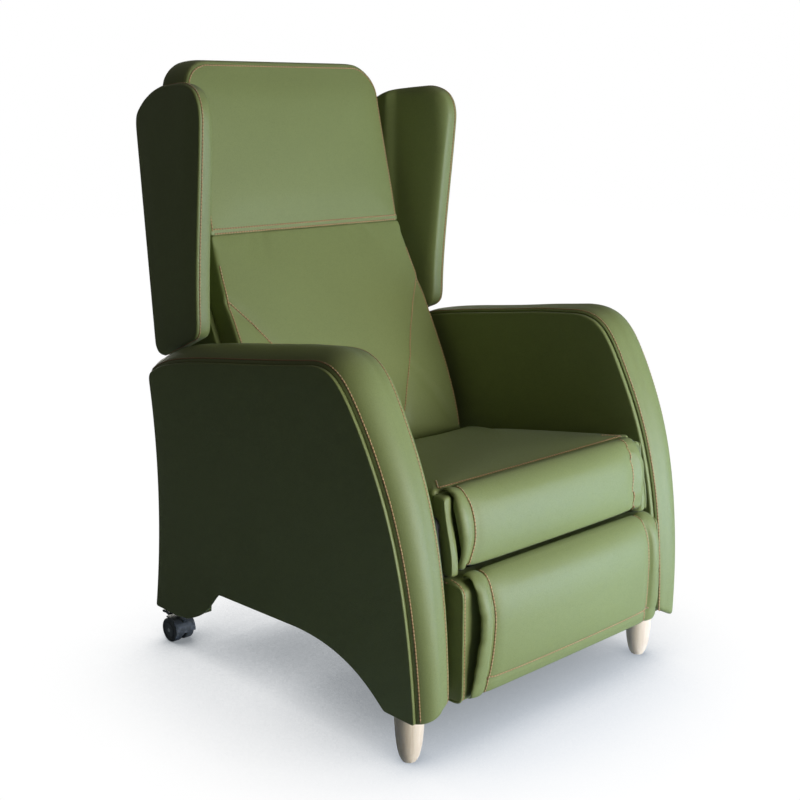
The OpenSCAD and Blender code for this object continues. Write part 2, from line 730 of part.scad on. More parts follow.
cheek_line = concat(cheek_low, [for (i = [1 : len(cheek_high) - 1]) cheek_high[i]]);
cheek_foot_r = 35;
cheek_gap = 1.3;
cover_low_z = recline.y - 34;
cheek_outline = concat(
    [for (p = cheek_line) p + [cheek_gap, 0]],
    [[cover_line(core_top_z), core_top_z], [cover_line(cover_low_z), cover_low_z]],
    [for (a = [0 : 15 : 90]) recline + cheek_foot_r * [-sin(a), -cos(a)]]);
module cheek_bores() {
    inner = plate_x - cheek_thickness;
    both_sides() {
        bar(inner - 1, plate_x + 1, recline, pivot_r + bush_wall);
        for (z = wing_bolt_z) bar(inner - 1, plate_x + 1, [cover_line(z) - 16, z], wing_bolt_r);
    }
}
module back_frame() {
    inner = plate_x - cheek_thickness;
    rail = 24;
    low_y = recline_y + 30;
    low_z = recline.y - 26;
    color(timber) difference() {
        union() {
            both_sides() slab(inner, plate_x - side_cover_t, cheek_outline);
            slab(-inner, inner, [
                [low_y, low_z], [low_y + 70, low_z], [low_y + 70, low_z + 30], [low_y, low_z + 30]]);
            slab(-inner, inner, [for (p = [[0, 0], [0, 60], [1, 60], [1, 0]]) let (
                z = back_seam_height - 30 + p.y)
                [cover_line(z) - rail * p.x, z]]);
            slab(-inner, inner, [for (p = [[0, 0], [0, 50], [1, 50], [1, 0]]) let (
                z = core_top_z - 50 + p.y)
                [cover_line(z) - rail * p.x, z]]);
        }
        cheek_bores();
    }
}
// Side cover: over the outside of a cheek, its front edge and its top
module back_side_cover() {
    last = len(cheek_line) - 1;
    lap_x = back_width / 2 + 2 * ease;
    lap = [for (p = cheek_line) p + [cheek_gap - side_cover_t, 0]];
    top_rear = cover_line(core_top_z);
    difference() {
        union() {
            slab(plate_x - side_cover_t, plate_x, cheek_outline);
            slab(lap_x, plate_x, concat(lap, [for (i = [last : -1 : 0]) cheek_line[i] + [cheek_gap, 0]]));
            slab(lap_x, plate_x, [
                [lap[last].x, core_top_z], [lap[last].x, core_top_z + side_cover_t],
                [top_rear, core_top_z + side_cover_t], [top_rear, core_top_z]]);
        }
        cheek_bores();
    }
}
back_strap_count = 7;
module back_webbing() {
    half = plate_x - cheek_thickness - ease;
    first = back_low_z + 60;
    pitch = (core_top_z - 50 - first) / back_strap_count;
    hold = 14;
    color(webbing) for (i = [0 : back_strap_count - 1]) let (
        z = first + pitch * i,
        a = [y_at(cheek_line, z) + 3, z],
        b = [y_at(cheek_line, z + 45) + 3, z + 45])
        slab(-half, half, [a, b, b + [web_t, 0], a + [web_t, 0]]);
}
// A back cushion between two curves. Rows run up, columns run across.
module back_cushion(face, rear, halves, crown, roll) {
    rows = len(face) - 1;
    low = face[0].y;
    high = face[rows].y;
    front = [for (i = [0 : rows]) let (half = halves[i])
        [for (x = stations(-half, half, roll, 5)) let (
            dx = drop(half - abs(x), roll),
            dz = drop(min(face[i].y - low, high - face[i].y), roll),
            y = face[i].x - crown * bump(x, -half, half) * bump(i, 0, rows) + min(roll, norm([dx, dz])))
            [x, y, face[i].y]]];
    back = [for (i = [0 : rows]) let (half = halves[i])
        [for (x = stations(-half, half, roll, 5)) [x, rear[i].x, rear[i].y]]];
    between(front, back);
}
function rows_of(path, a, b, roll) = [for (z = stations(a, b, roll, 6, 2)) [y_at(path, z), z]];
module lumbar_cushion() {
    roll = 14;
    top = back_seam_height - ease;
    face = rows_of(lumbar_front, back_low_z, top, roll);
    rear = rows_of(cheek_line, back_low_z, top, roll);
    color(leatherette) back_cushion(face, rear, [for (p = face) back_width / 2], 6, roll);
}
head_corner_r = 60;
function head_half(z) = let (c = overall_height - 4 - head_corner_r)
    z <= c ? back_width / 2 - 6
    : back_width / 2 - 6 - head_corner_r + sqrt(max(0, pow(head_corner_r, 2) - pow(z - c, 2)));
module head_cushion() {
    roll = 14;
    low = back_seam_height;
    zs = concat(stations(low, core_top_z, roll, 4, 2), [
        core_top_z + 1, overall_height - head_rear_r, core_top_z + 42, core_top_z + 50, head_top_z + 2,
        overall_height]);
    top_y = y_at(head_front, head_top_z - 4);
    face = [for (z = zs) z > head_top_z ? [top_y + (z > head_top_z + 3 ? 22 : 7), z] : [y_at(head_front, z), z]];
    rear = [for (z = zs) z > core_top_z
        ? [min(rear_y, rear_line(z)) - drop(overall_height - z, head_rear_r), z]
        : [y_at(cheek_line, z), z]];
    color(leatherette) back_cushion(face, rear, [for (z = zs) head_half(z)], 5, roll);
}
module rear_cover() {
    top = core_top_z;
    color(leatherette) slab(-plate_x + 1, plate_x - 1, [
        [cover_line(cover_low_z), cover_low_z], [cover_line(top), top],
        [rear_line(top) - 1, top], [rear_line(cover_low_z), cover_low_z]]);
}

// Wings. Rows run up from the slanted lower edge, columns from the front edge to the rear edge.
// The lower edge clears the rear end of the arm rest.
wing_low = arm_rear_height + 14;
wing_top_z = core_top_z + 18;
wing_front = [for (p = concat(
    [[-197, wing_low + 52], [-206, wing_low + 62]],
    bez3([-209, wing_low + 80], [-208, 780], [-235, 930], [-246, wing_top_z - 56], 5),
    [[-241, wing_top_z - 31], [-226, wing_top_z - 12], [-204, wing_top_z - 4], [-184, wing_top_z]]))
    [rear_y + p.x, p.y]];
function wing_rear(k) = let (
    z = [wing_low, wing_low + 4, wing_low + 17, 700, 800, 900, 985, 1030, wing_top_z - 54,
        wing_top_z - 30, wing_top_z - 14, wing_top_z - 5][k],
    cut = [26, 9, 0, 0, 0, 0, 0, 0, 6, 40, 75, 108][k])
    [rear_line(z) + 4 - cut, z];
wing_rows = len(wing_front);
wing_depth = 235;
wing_root = rear_y - 90;
heel = 22;
function wing_inner_x(y) = plate_x + ease
    + (y >= wing_root ? 0 : min((rear_y - y) * tan(wing_splay), (wing_root - y) * 0.6));
function wing_outer_x(y) = plate_x + ease + (rear_y - y) * tan(wing_splay)
    + lerp(wing_rear_thickness, wing_thickness, (rear_y - y) / wing_depth);
module wing_shape() {
    roll = 13;
    function across(k, outer) = let (
        a = wing_front[k], b = wing_rear(k), run = b.x - a.x, r = min(roll, run / 4),
        v = min(k, wing_rows - 1 - k),
        edge = [for (i = [0 : 3]) r * (1 - cos(30 * i))],
        root = max(run / 2, min(wing_root - a.x, run - r - 4)))
        [for (s = concat(edge, [root / 2, root - min(heel, root / 4), root],
                [for (i = [3 : -1 : 0]) run - edge[i]])) let (
            p = lerp(a, b, s / run),
            d = max(drop(min(s, run - s), roll), v == 0 ? roll : v == 1 ? roll * 0.35 : 0))
            [outer ? wing_outer_x(p.x) - d : wing_inner_x(p.x) + (p.x < wing_root ? d : 0),
             p.x, p.y]];
    between([for (k = [0 : wing_rows - 1]) across(k, true)], [for (k = [0 : wing_rows - 1]) across(k, false)]);
}
core_outline = [
    [rear_line(wing_low + 42) - 14, wing_low + 40], [rear_y - 170, wing_low + 62],
    [rear_y - 185, wing_low + 102], [rear_y - 212, 1020], [rear_y - 178, core_top_z - 8],
    [rear_line(core_top_z - 23) - 50, core_top_z - 8], [rear_line(1040) - 14, 1040]];
module wing_core_shape() {
    y_front = rear_y - 240;
    y_bend = wing_root - heel;
    function mid(y) = plate_x + ease + (rear_y - y) * tan(wing_splay) + wing_thickness / 2;
    half = wing_core / 2;
    intersection() {
        slab(plate_x, plate_x + 200, core_outline);
        linear_extrude(far) polygon([
            [plate_x, rear_y], [plate_x, wing_root + 4],
            [mid(y_bend) - half, y_bend], [mid(y_front) - half, y_front],
            [mid(y_front) + half, y_front], [mid(rear_y) + half, rear_y]]);
    }
}
wing_bolt_z = [700, 870, 1020];
wing_bolt_r = 4;
wing_bolt_reach = 10;
module wing_core() {
    difference() {
        wing_core_shape();
        for (z = wing_bolt_z)
            bar(plate_x - 1, plate_x + wing_bolt_reach, [cover_line(z) - 16, z], wing_bolt_r);
    }
}
module wing_pad() {
    difference() {
        wing_shape();
        wing_core_shape();
    }
}
module wing_bolts() {
    inner = plate_x - cheek_thickness;
    color(steel) both_sides() for (z = wing_bolt_z) {
        bar(inner, plate_x + wing_bolt_reach, [cover_line(z) - 16, z], wing_bolt_r);
        bar(inner - 4, inner, [cover_line(z) - 16, z], wing_bolt_r + 4);
    }
}

// Back hinge plate with the lug of the push rod
rod_rear = recline + [-3.1, -70];
rod_front = leg_pivot + [17.1, -31.2];
rod_play_z = 4.7;
rod_head_r = 6.5;
module rod_pin(at) {
    bar(plate_x, rod_out_x + rod_gap / 2, at, pin_r);
    bar(rod_out_x + rod_gap / 2, rod_out_x + rod_gap / 2 + pin_head, at, rod_head_r);
}
module back_hinge_plate() {
    upper = [y_at(cheek_line, 560) + 40, 560];
    difference() {
        union() {
            strap(plate_x, plate_out_x, recline, upper, 24);
            strap(plate_x, plate_out_x, recline, rod_rear, 14);
            rod_pin(rod_rear);
        }
        bar(plate_x - 1, plate_out_x + 1, recline, pivot_r + bush_wall);
    }
}
module back_pivot_bushes() {
    inner = plate_x - cheek_thickness;
    color("ivory") both_sides() difference() {
        union() {
            bar(inner, plate_out_x, recline, pivot_r + bush_wall);
            bar(plate_out_x, plate_out_x + bush_flange, recline, pivot_r + bush_wall + 3);
        }
        bar(inner - 1, plate_out_x + bush_flange + 1, recline, pivot_r + running);
    }
}
module gas_spring_lug() {
    low_y = recline_y + 30;
    foot_z = recline.y - 26;
    color(black_steel) difference() {
        union() {
            gas_ears(gas_high, [low_y + 14, foot_z - 6], 11);
            translate([-30, low_y, foot_z - 4]) cube([60, 50, 4]);
        }
        translate([-50, low_y - 50, foot_z]) cube([100, 150, 60]);
    }
}

// Leg rest
leg_box_rear = -leg_pivot_y + 5;
leg_box_front = leg_box_rear - leg_box_depth;
module leg_rest_box() {
    r = 20;
    corners = [
        [[leg_box_rear - 8, leg_box_bottom + 8], 8, 0], [[leg_box_front + r, leg_box_bottom + r], r, 90],
        [[leg_box_front + r, leg_box_top - r], r, 180], [[leg_box_rear - 8, leg_box_top - 8], 8, 270]];
    color(leatherette) slab(-plate_x, plate_x, [for (c = corners, a = [0 : 15 : 90])
        c[0] + c[1] * [cos(c[2] + a), -sin(c[2] + a)]]);
}
module leg_rest_pad() {
    crown = 8;
    back_y = leg_box_front - ease;
    nose = leg_box_front - leg_pad_depth + crown;
    top = leg_box_top + 12;
    low = leg_box_bottom + 8;
    profile = concat(
        bez3([leg_box_front + 16, top], [nose + 18, top + 3], [nose, top - 30], [nose, top - 85], 6),
        bez3([nose, top - 85], [nose + 1, top - 130], [nose + 5, low + 34], [nose + 15, low + 4], 5, 1),
        [[back_y - 5, low]]);
    backing = concat(
        [[leg_box_front + 16, leg_box_top + ease], [back_y, leg_box_top + ease]],
        [for (i = [1 : 11]) [back_y, lerp(leg_box_top, low + 2, i / 11)]]);
    color(leatherette) front_pad(profile, backing, pad_half - 4, crown, 14);
}
module leg_rest_plate() {
    grip_top = [leg_box_rear - 22, leg_box_top - 22];
    grip_low = [leg_box_rear - 22, leg_box_top - 110];
    difference() {
        union() {
            strap(plate_x, plate_out_x, leg_pivot, grip_top, 16);
            strap(plate_x, plate_out_x, grip_top, grip_low, 16);
            strap(plate_x, plate_out_x, leg_pivot, rod_front, 12);
            rod_pin(rod_front);
        }
        bar(plate_x - 1, plate_out_x + 1, leg_pivot, pivot_r + running);
    }
}

// Push rod, from the back hinge plate to the leg-rest plate
module push_rod() {
    half = 9;
    slot_r = pin_r + 0.6;
    difference() {
        union() {
            strap(rod_x, rod_out_x, rod_rear, rod_front, half);
            bar(rod_x, rod_out_x, rod_rear, half + 2);
            strap(rod_x, rod_out_x, rod_front + [0, 1], rod_front - [0, rod_play_z + 1], half + 2);
        }
        bar(rod_x - 1, rod_out_x + 1, rod_rear, pin_r + running);
        strap(rod_x - 1, rod_out_x + 1, rod_front + [0.4, 0.4], rod_front + [0.4, -rod_play_z - 0.4], slot_r);
    }
}

color(timber) side_frame();  // side_frame_left
color(timber) on_side(-1) side_frame();  // side_frame_right
color(leatherette) arm_band();  // arm_band_left
color(leatherette) on_side(-1) arm_band();  // arm_band_right
color(leatherette) arm_outer_panel();  // arm_outer_panel_left
color(leatherette) on_side(-1) arm_outer_panel();  // arm_outer_panel_right
color(leatherette) arm_inner_panel();  // arm_inner_panel_left
color(leatherette) on_side(-1) arm_inner_panel();  // arm_inner_panel_right
front_cross_rail();
rear_cross_rail();
rear_tie_rail();
rail_bolts();
seat_frame();
seat_webbing();
seat_cushion();
seat_facing();
seat_front_pad();
seat_dust_cover();
leg_rest_brackets();
back_pivot_bolts();
color(beech) front_foot();  // front_foot_left
color(beech) on_side(-1) front_foot();  // front_foot_right
foot_bolts();
color(black_steel) castor_mount();  // castor_mount_left
color(black_steel) on_side(-1) castor_mount();  // castor_mount_right
gas_spring_bracket();
back_frame();
back_webbing();
lumbar_cushion();
head_cushion();
rear_cover();
color(leatherette) back_side_cover();  // back_side_cover_left
color(leatherette) on_side(-1) back_side_cover();  // back_side_cover_right
color(timber) wing_core();  // wing_core_left
color(timber) on_side(-1) wing_core();  // wing_core_right
color(leatherette) wing_pad();  // wing_pad_left
color(leatherette) on_side(-1) wing_pad();  // wing_pad_right
wing_bolts();
color(black_steel) back_hinge_plate();  // back_hinge_plate_left
color(black_steel) on_side(-1) back_hinge_plate();  // back_hinge_plate_right
back_pivot_bushes();
gas_spring_lug();
leg_rest_box();
leg_rest_pad();
color(black_steel) leg_rest_plate();  // leg_rest_plate_left
color(black_steel) on_side(-1) leg_rest_plate();  // leg_rest_plate_right
color(steel) push_rod();  // push_rod_left
color(steel) on_side(-1) push_rod();  // push_rod_right
gas_cylinder();
gas_rod();
color(castor_grey) castor_hood();  // castor_hood_left
color(castor_grey) on_side(-1) castor_hood();  // castor_hood_right
color(steel) castor_axle();  // castor_axle_left
color(steel) on_side(-1) castor_axle();  // castor_axle_right
color(castor_grey) at_castor() castor_wheel();  // castor_outer_wheel_left
color(castor_grey) on_side(-1) at_castor() castor_wheel();  // castor_outer_wheel_right
color(castor_grey) at_castor() mirror([1, 0, 0]) castor_wheel();  // castor_inner_wheel_left
color(castor_grey) on_side(-1) at_castor() mirror([1, 0, 0]) castor_wheel();  // castor_inner_wheel_right
color(castor_grey) castor_brake();  // castor_brake_left
color(castor_grey) on_side(-1) castor_brake();  // castor_brake_right
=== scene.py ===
"""Looks of the wing-back care recliner: upholstery, stitching, timber, metal, castors and studio.

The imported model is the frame. Lengths inside the builders are millimetres in the chair's own frame:
X is the width, the chair faces -Y, Z is up, the floor is z = 0. Meshes are made in metres.
"""
import json
import logging
import math
from dataclasses import dataclass, field
from enum import Enum
from typing import Callable, Sequence

import bmesh
import bpy
import numpy as np
from mathutils import Matrix, Vector
from mathutils.bvhtree import BVHTree
from mathutils.geometry import delaunay_2d_cdt

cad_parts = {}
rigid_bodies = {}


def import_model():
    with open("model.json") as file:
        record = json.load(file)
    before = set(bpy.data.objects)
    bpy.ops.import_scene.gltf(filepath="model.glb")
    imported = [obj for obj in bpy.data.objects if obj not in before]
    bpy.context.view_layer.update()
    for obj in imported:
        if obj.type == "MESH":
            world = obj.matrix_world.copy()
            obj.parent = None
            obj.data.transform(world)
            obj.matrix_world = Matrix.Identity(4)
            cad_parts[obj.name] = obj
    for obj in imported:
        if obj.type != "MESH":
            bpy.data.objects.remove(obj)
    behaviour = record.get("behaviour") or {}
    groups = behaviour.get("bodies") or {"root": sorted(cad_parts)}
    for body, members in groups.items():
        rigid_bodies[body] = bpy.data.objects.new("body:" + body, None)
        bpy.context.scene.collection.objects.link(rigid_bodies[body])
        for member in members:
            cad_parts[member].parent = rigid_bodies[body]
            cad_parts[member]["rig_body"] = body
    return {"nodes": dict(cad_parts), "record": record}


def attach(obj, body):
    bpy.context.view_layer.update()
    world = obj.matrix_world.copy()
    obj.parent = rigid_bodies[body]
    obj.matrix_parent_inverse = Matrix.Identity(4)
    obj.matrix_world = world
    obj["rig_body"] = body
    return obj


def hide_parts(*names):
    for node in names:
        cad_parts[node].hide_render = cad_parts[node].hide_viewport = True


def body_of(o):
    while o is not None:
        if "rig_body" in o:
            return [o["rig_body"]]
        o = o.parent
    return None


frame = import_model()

log = logging.getLogger("recliner")
MM = 0.001
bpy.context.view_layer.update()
TINY = 1e-9
Array = np.ndarray
Socket = bpy.types.NodeSocket
Colour = tuple[float, float, float, float]
WHITE: Colour = (1.0, 1.0, 1.0, 1.0)


class Side(Enum):
    """The sitter's left is +X, the right is -X."""

    LEFT = 1
    RIGHT = -1

    @property
    def word(self) -> str:
        """Name of the side as node names write it."""
        return self.name.lower()


# Curves and outlines


def bezier(points: Sequence[Sequence[float]], count: int, skip: int = 0) -> Array:
    """Points along a Bezier curve with three or four control points.

    Args:
        points: the control points.
        count: how many steps the curve takes.
        skip: how many points at its start are left out.

    Returns:
        An array of points.
    """
    ctrl = np.asarray(points, float)
    t = np.linspace(0.0, 1.0, count + 1)[skip:, None]
    u = 1.0 - t
    if len(ctrl) == 3:
        return u * u * ctrl[0] + 2 * u * t * ctrl[1] + t * t * ctrl[2]
    return u**3 * ctrl[0] + 3 * u * u * t * ctrl[1] + 3 * u * t * t * ctrl[2] + t**3 * ctrl[3]


def drop(d: Array, r: Array | float, reach: Array | float | None = None) -> Array:
    """Height lost at a rolled edge.

    Args:
        d: distances from the edge.
        r: height of the roll.
        reach: how far in it reaches, r where nothing is given.

    Returns:
        The height lost at each distance.
    """
    reach = r if reach is None else reach
    q = np.clip(1.0 - np.asarray(d, float) / reach, 0.0, 1.0)
    return r * (1.0 - np.sqrt(1.0 - q * q))


def bump(v: Array, a: float, b: float) -> Array:
    """A bump that is 1 at the middle of a to b and 0 at both ends."""
    s = (2 * np.asarray(v, float) - a - b) / (b - a)
    return np.clip(1 - s * s, 0, None)


def smooth(v: Array, a: float, b: float) -> Array:
    """A smooth step from 0 at a to 1 at b."""
    t = np.clip((np.asarray(v, float) - a) / (b - a), 0, 1)
    return t * t * (3 - 2 * t)


def unit(rows: Array) -> Array:
    """Each row at length 1."""
    return rows / np.maximum(np.linalg.norm(rows, axis=1, keepdims=True), TINY)


def columns(*parts: Array | float) -> Array:
    """Points from their coordinates, where a single number stands for all of them."""
    return np.stack(np.broadcast_arrays(*parts), 1)


def rectangle(low: tuple[float, float], high: tuple[float, float]) -> Array:
    """Corners of a rectangle."""
    return np.array([low, (high[0], low[1]), high, (low[0], high[1])], float)


def closer_ends(close: Sequence[float], middle: Array, far: float) -> Array:
    """Places from 0 to far that stand closer together at both ends."""
    return np.concatenate([close, middle, far - np.array(close)[::-1]])


def ringed(path: Array) -> Array:
    """A closed path with its start repeated at its end."""
    return np.concatenate([path, path[:1]])


def arc_lengths(path: Array) -> Array:
    """Distance along a path at each of its points."""
    return np.concatenate([[0.0], np.cumsum(np.linalg.norm(np.diff(path, axis=0), axis=1))])


def along(path: Array, known: Array, places: Array) -> Array:
    """Points of a path at places along it.

    Args:
        path: its points.
        known: the place of each of them.
        places: where points are wanted.

    Returns:
        The points in between.
    """
    return np.stack([np.interp(places, known, path[:, k]) for k in range(path.shape[1])], -1)


def resample(path: Array, step: float, closed: bool = False) -> Array:
    """The path again with even steps.

    Args:
        path: its points.
        step: about how far apart the new points are.
        closed: whether the path runs on to its start.

    Returns:
        The new points, without the repeated start where it is closed.
    """
    whole = ringed(path) if closed else np.asarray(path, float)
    s = arc_lengths(whole)
    n = max(3, int(round(s[-1] / step)))
    out = along(whole, s, np.linspace(0, s[-1], n + 1))
    return out[:-1] if closed else out


def rounded(path: Array, radius: float, step: float) -> Array:
    """A closed outline with its corners rounded by averaging along it.

    Args:
        path: the corners of the outline.
        radius: about how far the rounding reaches.
        step: distance between the points that come out.

    Returns:
        The rounded outline.
    """
    fine = resample(path, step, closed=True)
    turns = max(1, int((radius / step) ** 2 / 2))
    for _ in range(turns):
        fine = 0.5 * fine + 0.25 * (np.roll(fine, 1, 0) + np.roll(fine, -1, 0))
    return fine


def side_normals(path: Array, closed: bool = False) -> Array:
    """Unit normals on the right of the way a 2-D path runs."""
    if closed:
        d = np.roll(path, -1, 0) - np.roll(path, 1, 0)
    else:
        d = np.gradient(path, axis=0)
    return unit(columns(d[:, 1], -d[:, 0]))


def outward_normals(outline: Array) -> Array:
    """Unit normals out of a closed outline."""
    x, y = outline.T
    area = np.sum(x * np.roll(y, -1) - np.roll(x, -1) * y)
    return side_normals(outline, True) * (1 if area > 0 else -1)


def distance_to(points: Array, line: Array, closed: bool = False) -> Array:
    """Distance of each point to a polyline, in two or three dimensions."""
    a = np.asarray(line, float)
    b = np.roll(a, -1, 0) if closed else a[1:]
    a = a if closed else a[:-1]
    ab = b - a
    best = np.full(len(points), np.inf)
    for p, v in zip(a, ab):
        t = np.clip(((points - p) @ v) / max(v @ v, TINY), 0, 1)
        best = np.minimum(best, np.linalg.norm(points - p - t[:, None] * v, axis=1))
    return best


def inside(points: Array, outline: Array) -> Array:
    """Which points lie inside a closed outline."""
    x, y = points[:, 0], points[:, 1]
    odd = np.zeros(len(points), bool)
    for (ax, ay), (bx, by) in zip(outline, np.roll(outline, -1, 0)):
        odd ^= ((ay > y) != (by > y)) & (x < (bx - ax) * (y - ay) / ((by - ay) or TINY) + ax)
    return odd


RING_ROOM = 0.86  # share of a ring's distance that its points keep from the edge
ROW_SHARE = 0.87  # height of an even triangle
EDGE_ROOM = 0.55  # share of the spacing between the last ring and the grid
EXTRA_ROOM = 0.45  # share of the spacing between a further point and the grid
INSIDE_ONLY, MERGE_AT = 1, 1e-5  # which triangles are kept, and when two points are one


@dataclass
class Fill:
    """A triangulated outline, each point's distance from its edge, and the loop of its edge points."""

    points: Array
    faces: list[tuple[int, ...]]
    edge: Array
    loop: list[int]

    @property
    def outline(self) -> Array:
        """The edge points in order."""
        return self.points[self.loop]


def fill_outline(outline: Array, spacing: float, rings: Sequence[float],
                 extra: Array | None = None) -> Fill:
    """Fills a closed outline with triangles that get finer towards its edge.

    Args:
        outline: the closed outline.
        spacing: distance between the points well inside.
        rings: distances from the edge at which it is followed by a row of points.
        extra: further points that the fill keeps.

    Returns:
        The fill, with each point's distance from the edge and the loop of its edge points.
    """
    outward = outward_normals(outline)
    sets = [outline]
    for ring in rings:
        row = outline - outward * ring
        row = row[distance_to(row, outline, True) > RING_ROOM * ring]
        sets.append(row[inside(row, outline)])
    low, high = outline.min(0), outline.max(0)
    grid = np.concatenate([
        columns(np.arange(low[0] + spacing * (0.25 + 0.5 * (k % 2)), high[0], spacing), y)
        for k, y in enumerate(np.arange(low[1] + spacing / 2, high[1], spacing * ROW_SHARE))])
    grid = grid[inside(grid, outline)]
    grid = grid[distance_to(grid, outline, True) > rings[-1] + EDGE_ROOM * spacing]
    if extra is not None:
        extra = extra[inside(extra, outline)]
        extra = extra[distance_to(extra, outline, True) > 1.0]
        grid = grid[[np.min(np.linalg.norm(extra - g, axis=1)) > EXTRA_ROOM * spacing for g in grid]]
        sets.append(extra)
    points = np.concatenate(sets + [grid])
    m = len(outline)
    edges = [(i, (i + 1) % m) for i in range(m)]
    out = delaunay_2d_cdt([Vector(p) for p in points], edges, [], INSIDE_ONLY, MERGE_AT)
    verts = np.array([[v.x, v.y] for v in out[0]])
    whence = {o: i for i, origins in enumerate(out[3]) for o in origins}
    return Fill(verts, [tuple(f) for f in out[2]], distance_to(verts, outline, True), [whence[i] for i in range(m)])


# Meshes


@dataclass
class Skin:
    """A mesh under construction, in millimetres."""

    name: str
    verts: Array
    faces: list[tuple[int, ...]]
    held: Array | None = None

    def press(self, line: Array, depth: float, width: float, towards: Sequence[float] | None = None) -> None:
        """Presses a soft groove along a line.

        Args:
            line: the line's points.
            depth: how deep the groove is.
            width: how far it reaches to each side.
            towards: the way it is pressed, against the surface's own normals where nothing is given.
        """
        low, high = line.min(0) - 3 * width, line.max(0) + 3 * width
        near = np.where(np.all((self.verts > low) & (self.verts < high), axis=1))[0]
        if not len(near):
            return
        d = distance_to(self.verts[near], line)
        way = -self.normals()[near] if towards is None else np.asarray(towards, float)
        self.verts[near] += way * (depth * np.exp(-((d / width) ** 2)))[:, None]

    def normals(self) -> Array:
        """Vertex normals, out of the solid."""
        n = np.zeros_like(self.verts)
        for size in (3, 4):
            part = np.array([f for f in self.faces if len(f) == size])
            if not len(part):
                continue
            p = self.verts[part]
            face = np.cross(p[:, 2] - p[:, 0], p[:, -1] - p[:, 1] if size == 4 else p[:, 1] - p[:, 0])
            face = face if size == 4 else -face
            for k in range(size):
                np.add.at(n, part[:, k], face)
        return unit(n)

    def tree(self) -> BVHTree:
        """A search tree over the faces, in millimetres."""
        return BVHTree.FromPolygons([Vector(v) for v in self.verts], self.faces)

    def turn_out(self) -> "Skin":
        """Turns all faces outward and returns the skin."""
        mesh = self.mesh(1.0)
        work = bmesh.new()
        work.from_mesh(mesh)
        bmesh.ops.recalc_face_normals(work, faces=work.faces)
        if work.calc_volume(signed=True) < 0:
            bmesh.ops.reverse_faces(work, faces=work.faces)
        self.faces = [tuple(v.index for v in f.verts) for f in work.faces]
        work.free()
        bpy.data.meshes.remove(mesh)
        return self

    def mesh(self, scale: float = MM) -> bpy.types.Mesh:
        """The skin as a Blender mesh."""
        mesh = bpy.data.meshes.new(self.name)
        mesh.from_pydata((self.verts * scale).tolist(), [], self.faces)
        return mesh

    def make(self, finish: bpy.types.Material) -> bpy.types.Object:
        """Makes the smooth-shaded Blender object in one material."""
        mesh = self.mesh()
        mesh.polygons.foreach_set("use_smooth", [True] * len(mesh.polygons))
        mesh.materials.append(finish)
        mesh.update()
        return link(self.name, mesh)


def link(name: str, data: bpy.types.ID) -> bpy.types.Object:
    """Puts a mesh, a lamp or a camera into the scene as an object."""
    obj = bpy.data.objects.new(name, data)
    bpy.context.scene.collection.objects.link(obj)
    return obj


def grid_faces(rows: int, columns: int, start: int = 0, closed: bool = False) -> list[tuple[int, ...]]:
    """Quads of a grid of points.

    Args:
        rows: number of rows.
        columns: points in each row.
        start: index of the first point.
        closed: whether each row closes on itself.

    Returns:
        The faces.
    """
    faces = []
    for i in range(rows - 1):
        for j in range(columns if closed else columns - 1):
            k = (j + 1) % columns
            a, b = start + i * columns, start + (i + 1) * columns
            faces.append((a + j, b + j, b + k, a + k))
    return faces


def tube_of_rows(name: str, rows: Array) -> Skin:
    """A closed skin from rows of closed loops, with flat fans at both ends.

    Args:
        name: name of the piece.
        rows: points of the loops, rows by loop points by three.

    Returns:
        The skin.
    """
    n, m = rows.shape[:2]
    verts = np.concatenate([rows.reshape(-1, 3), rows[0].mean(0)[None], rows[-1].mean(0)[None]])
    faces = grid_faces(n, m, closed=True)
    for j in range(m):
        k = (j + 1) % m
        faces.append((n * m, j, k))
        faces.append((n * m + 1, (n - 1) * m + k, (n - 1) * m + j))
    return Skin(name, verts, faces).turn_out()


Place = Callable[[Array, Array], Array]
Height = Callable[[Array, Array], Array]
RINGS = (1.2, 3.0, 6.0, 10.0, 15.0)  # distances from a cushion's edge that its points follow


def level(height: float) -> Height:
    """A flat face at one height."""
    return lambda p, d: np.full(len(p), height)


def shell(name: str, fill: Fill, place: Place, front: Height, back: Height,
          side_rows: int, belly: float = 0.0) -> Skin:
    """A closed piece between a front and a back over one filled outline.

    Args:
        name: name of the piece.
        fill: the filled outline.
        place: puts outline points and heights into the chair's frame.
        front: height of the front over each point, from the points and their distance to the edge.
        back: height of the back in the same way.
        side_rows: rows of faces around the side.
        belly: how far the side bulges.

    Returns:
        The closed skin, with the back held for a simulation.
    """
    p, n = fill.points, len(fill.points)
    heights = front(p, fill.edge), back(p, fill.edge)
    loop, m = fill.loop, len(fill.loop)
    verts = [place(p, h) for h in heights]
    faces = list(fill.faces) + [tuple(n + i for i in reversed(f)) for f in fill.faces]
    outline, outward = fill.outline, outward_normals(fill.outline)
    h_top, h_low = (h[loop] for h in heights)
    count, previous = 2 * n, list(loop)
    for k in range(1, side_rows + 1):
        now = [n + i for i in loop]
        if k < side_rows:
            t = k / side_rows
            verts.append(place(outline + outward * belly * 4 * t * (1 - t), h_top + (h_low - h_top) * t))
            now = list(range(count, count + m))
            count += m
        faces += [(previous[j], now[j], now[(j + 1) % m], previous[(j + 1) % m]) for j in range(m)]
        previous = now
    held = np.zeros(count, bool)
    held[n:2 * n] = True
    held[loop] = True
    return Skin(name, np.concatenate(verts), faces, held).turn_out()


CLOTH = {"quality": 4, "mass": 0.35, "tension_stiffness": 12, "compression_stiffness": 12, "shear_stiffness": 6,
         "bending_stiffness": 1.5, "use_pressure": True, "vertex_group_mass": "held"}
CLOTH_FRAMES = 16


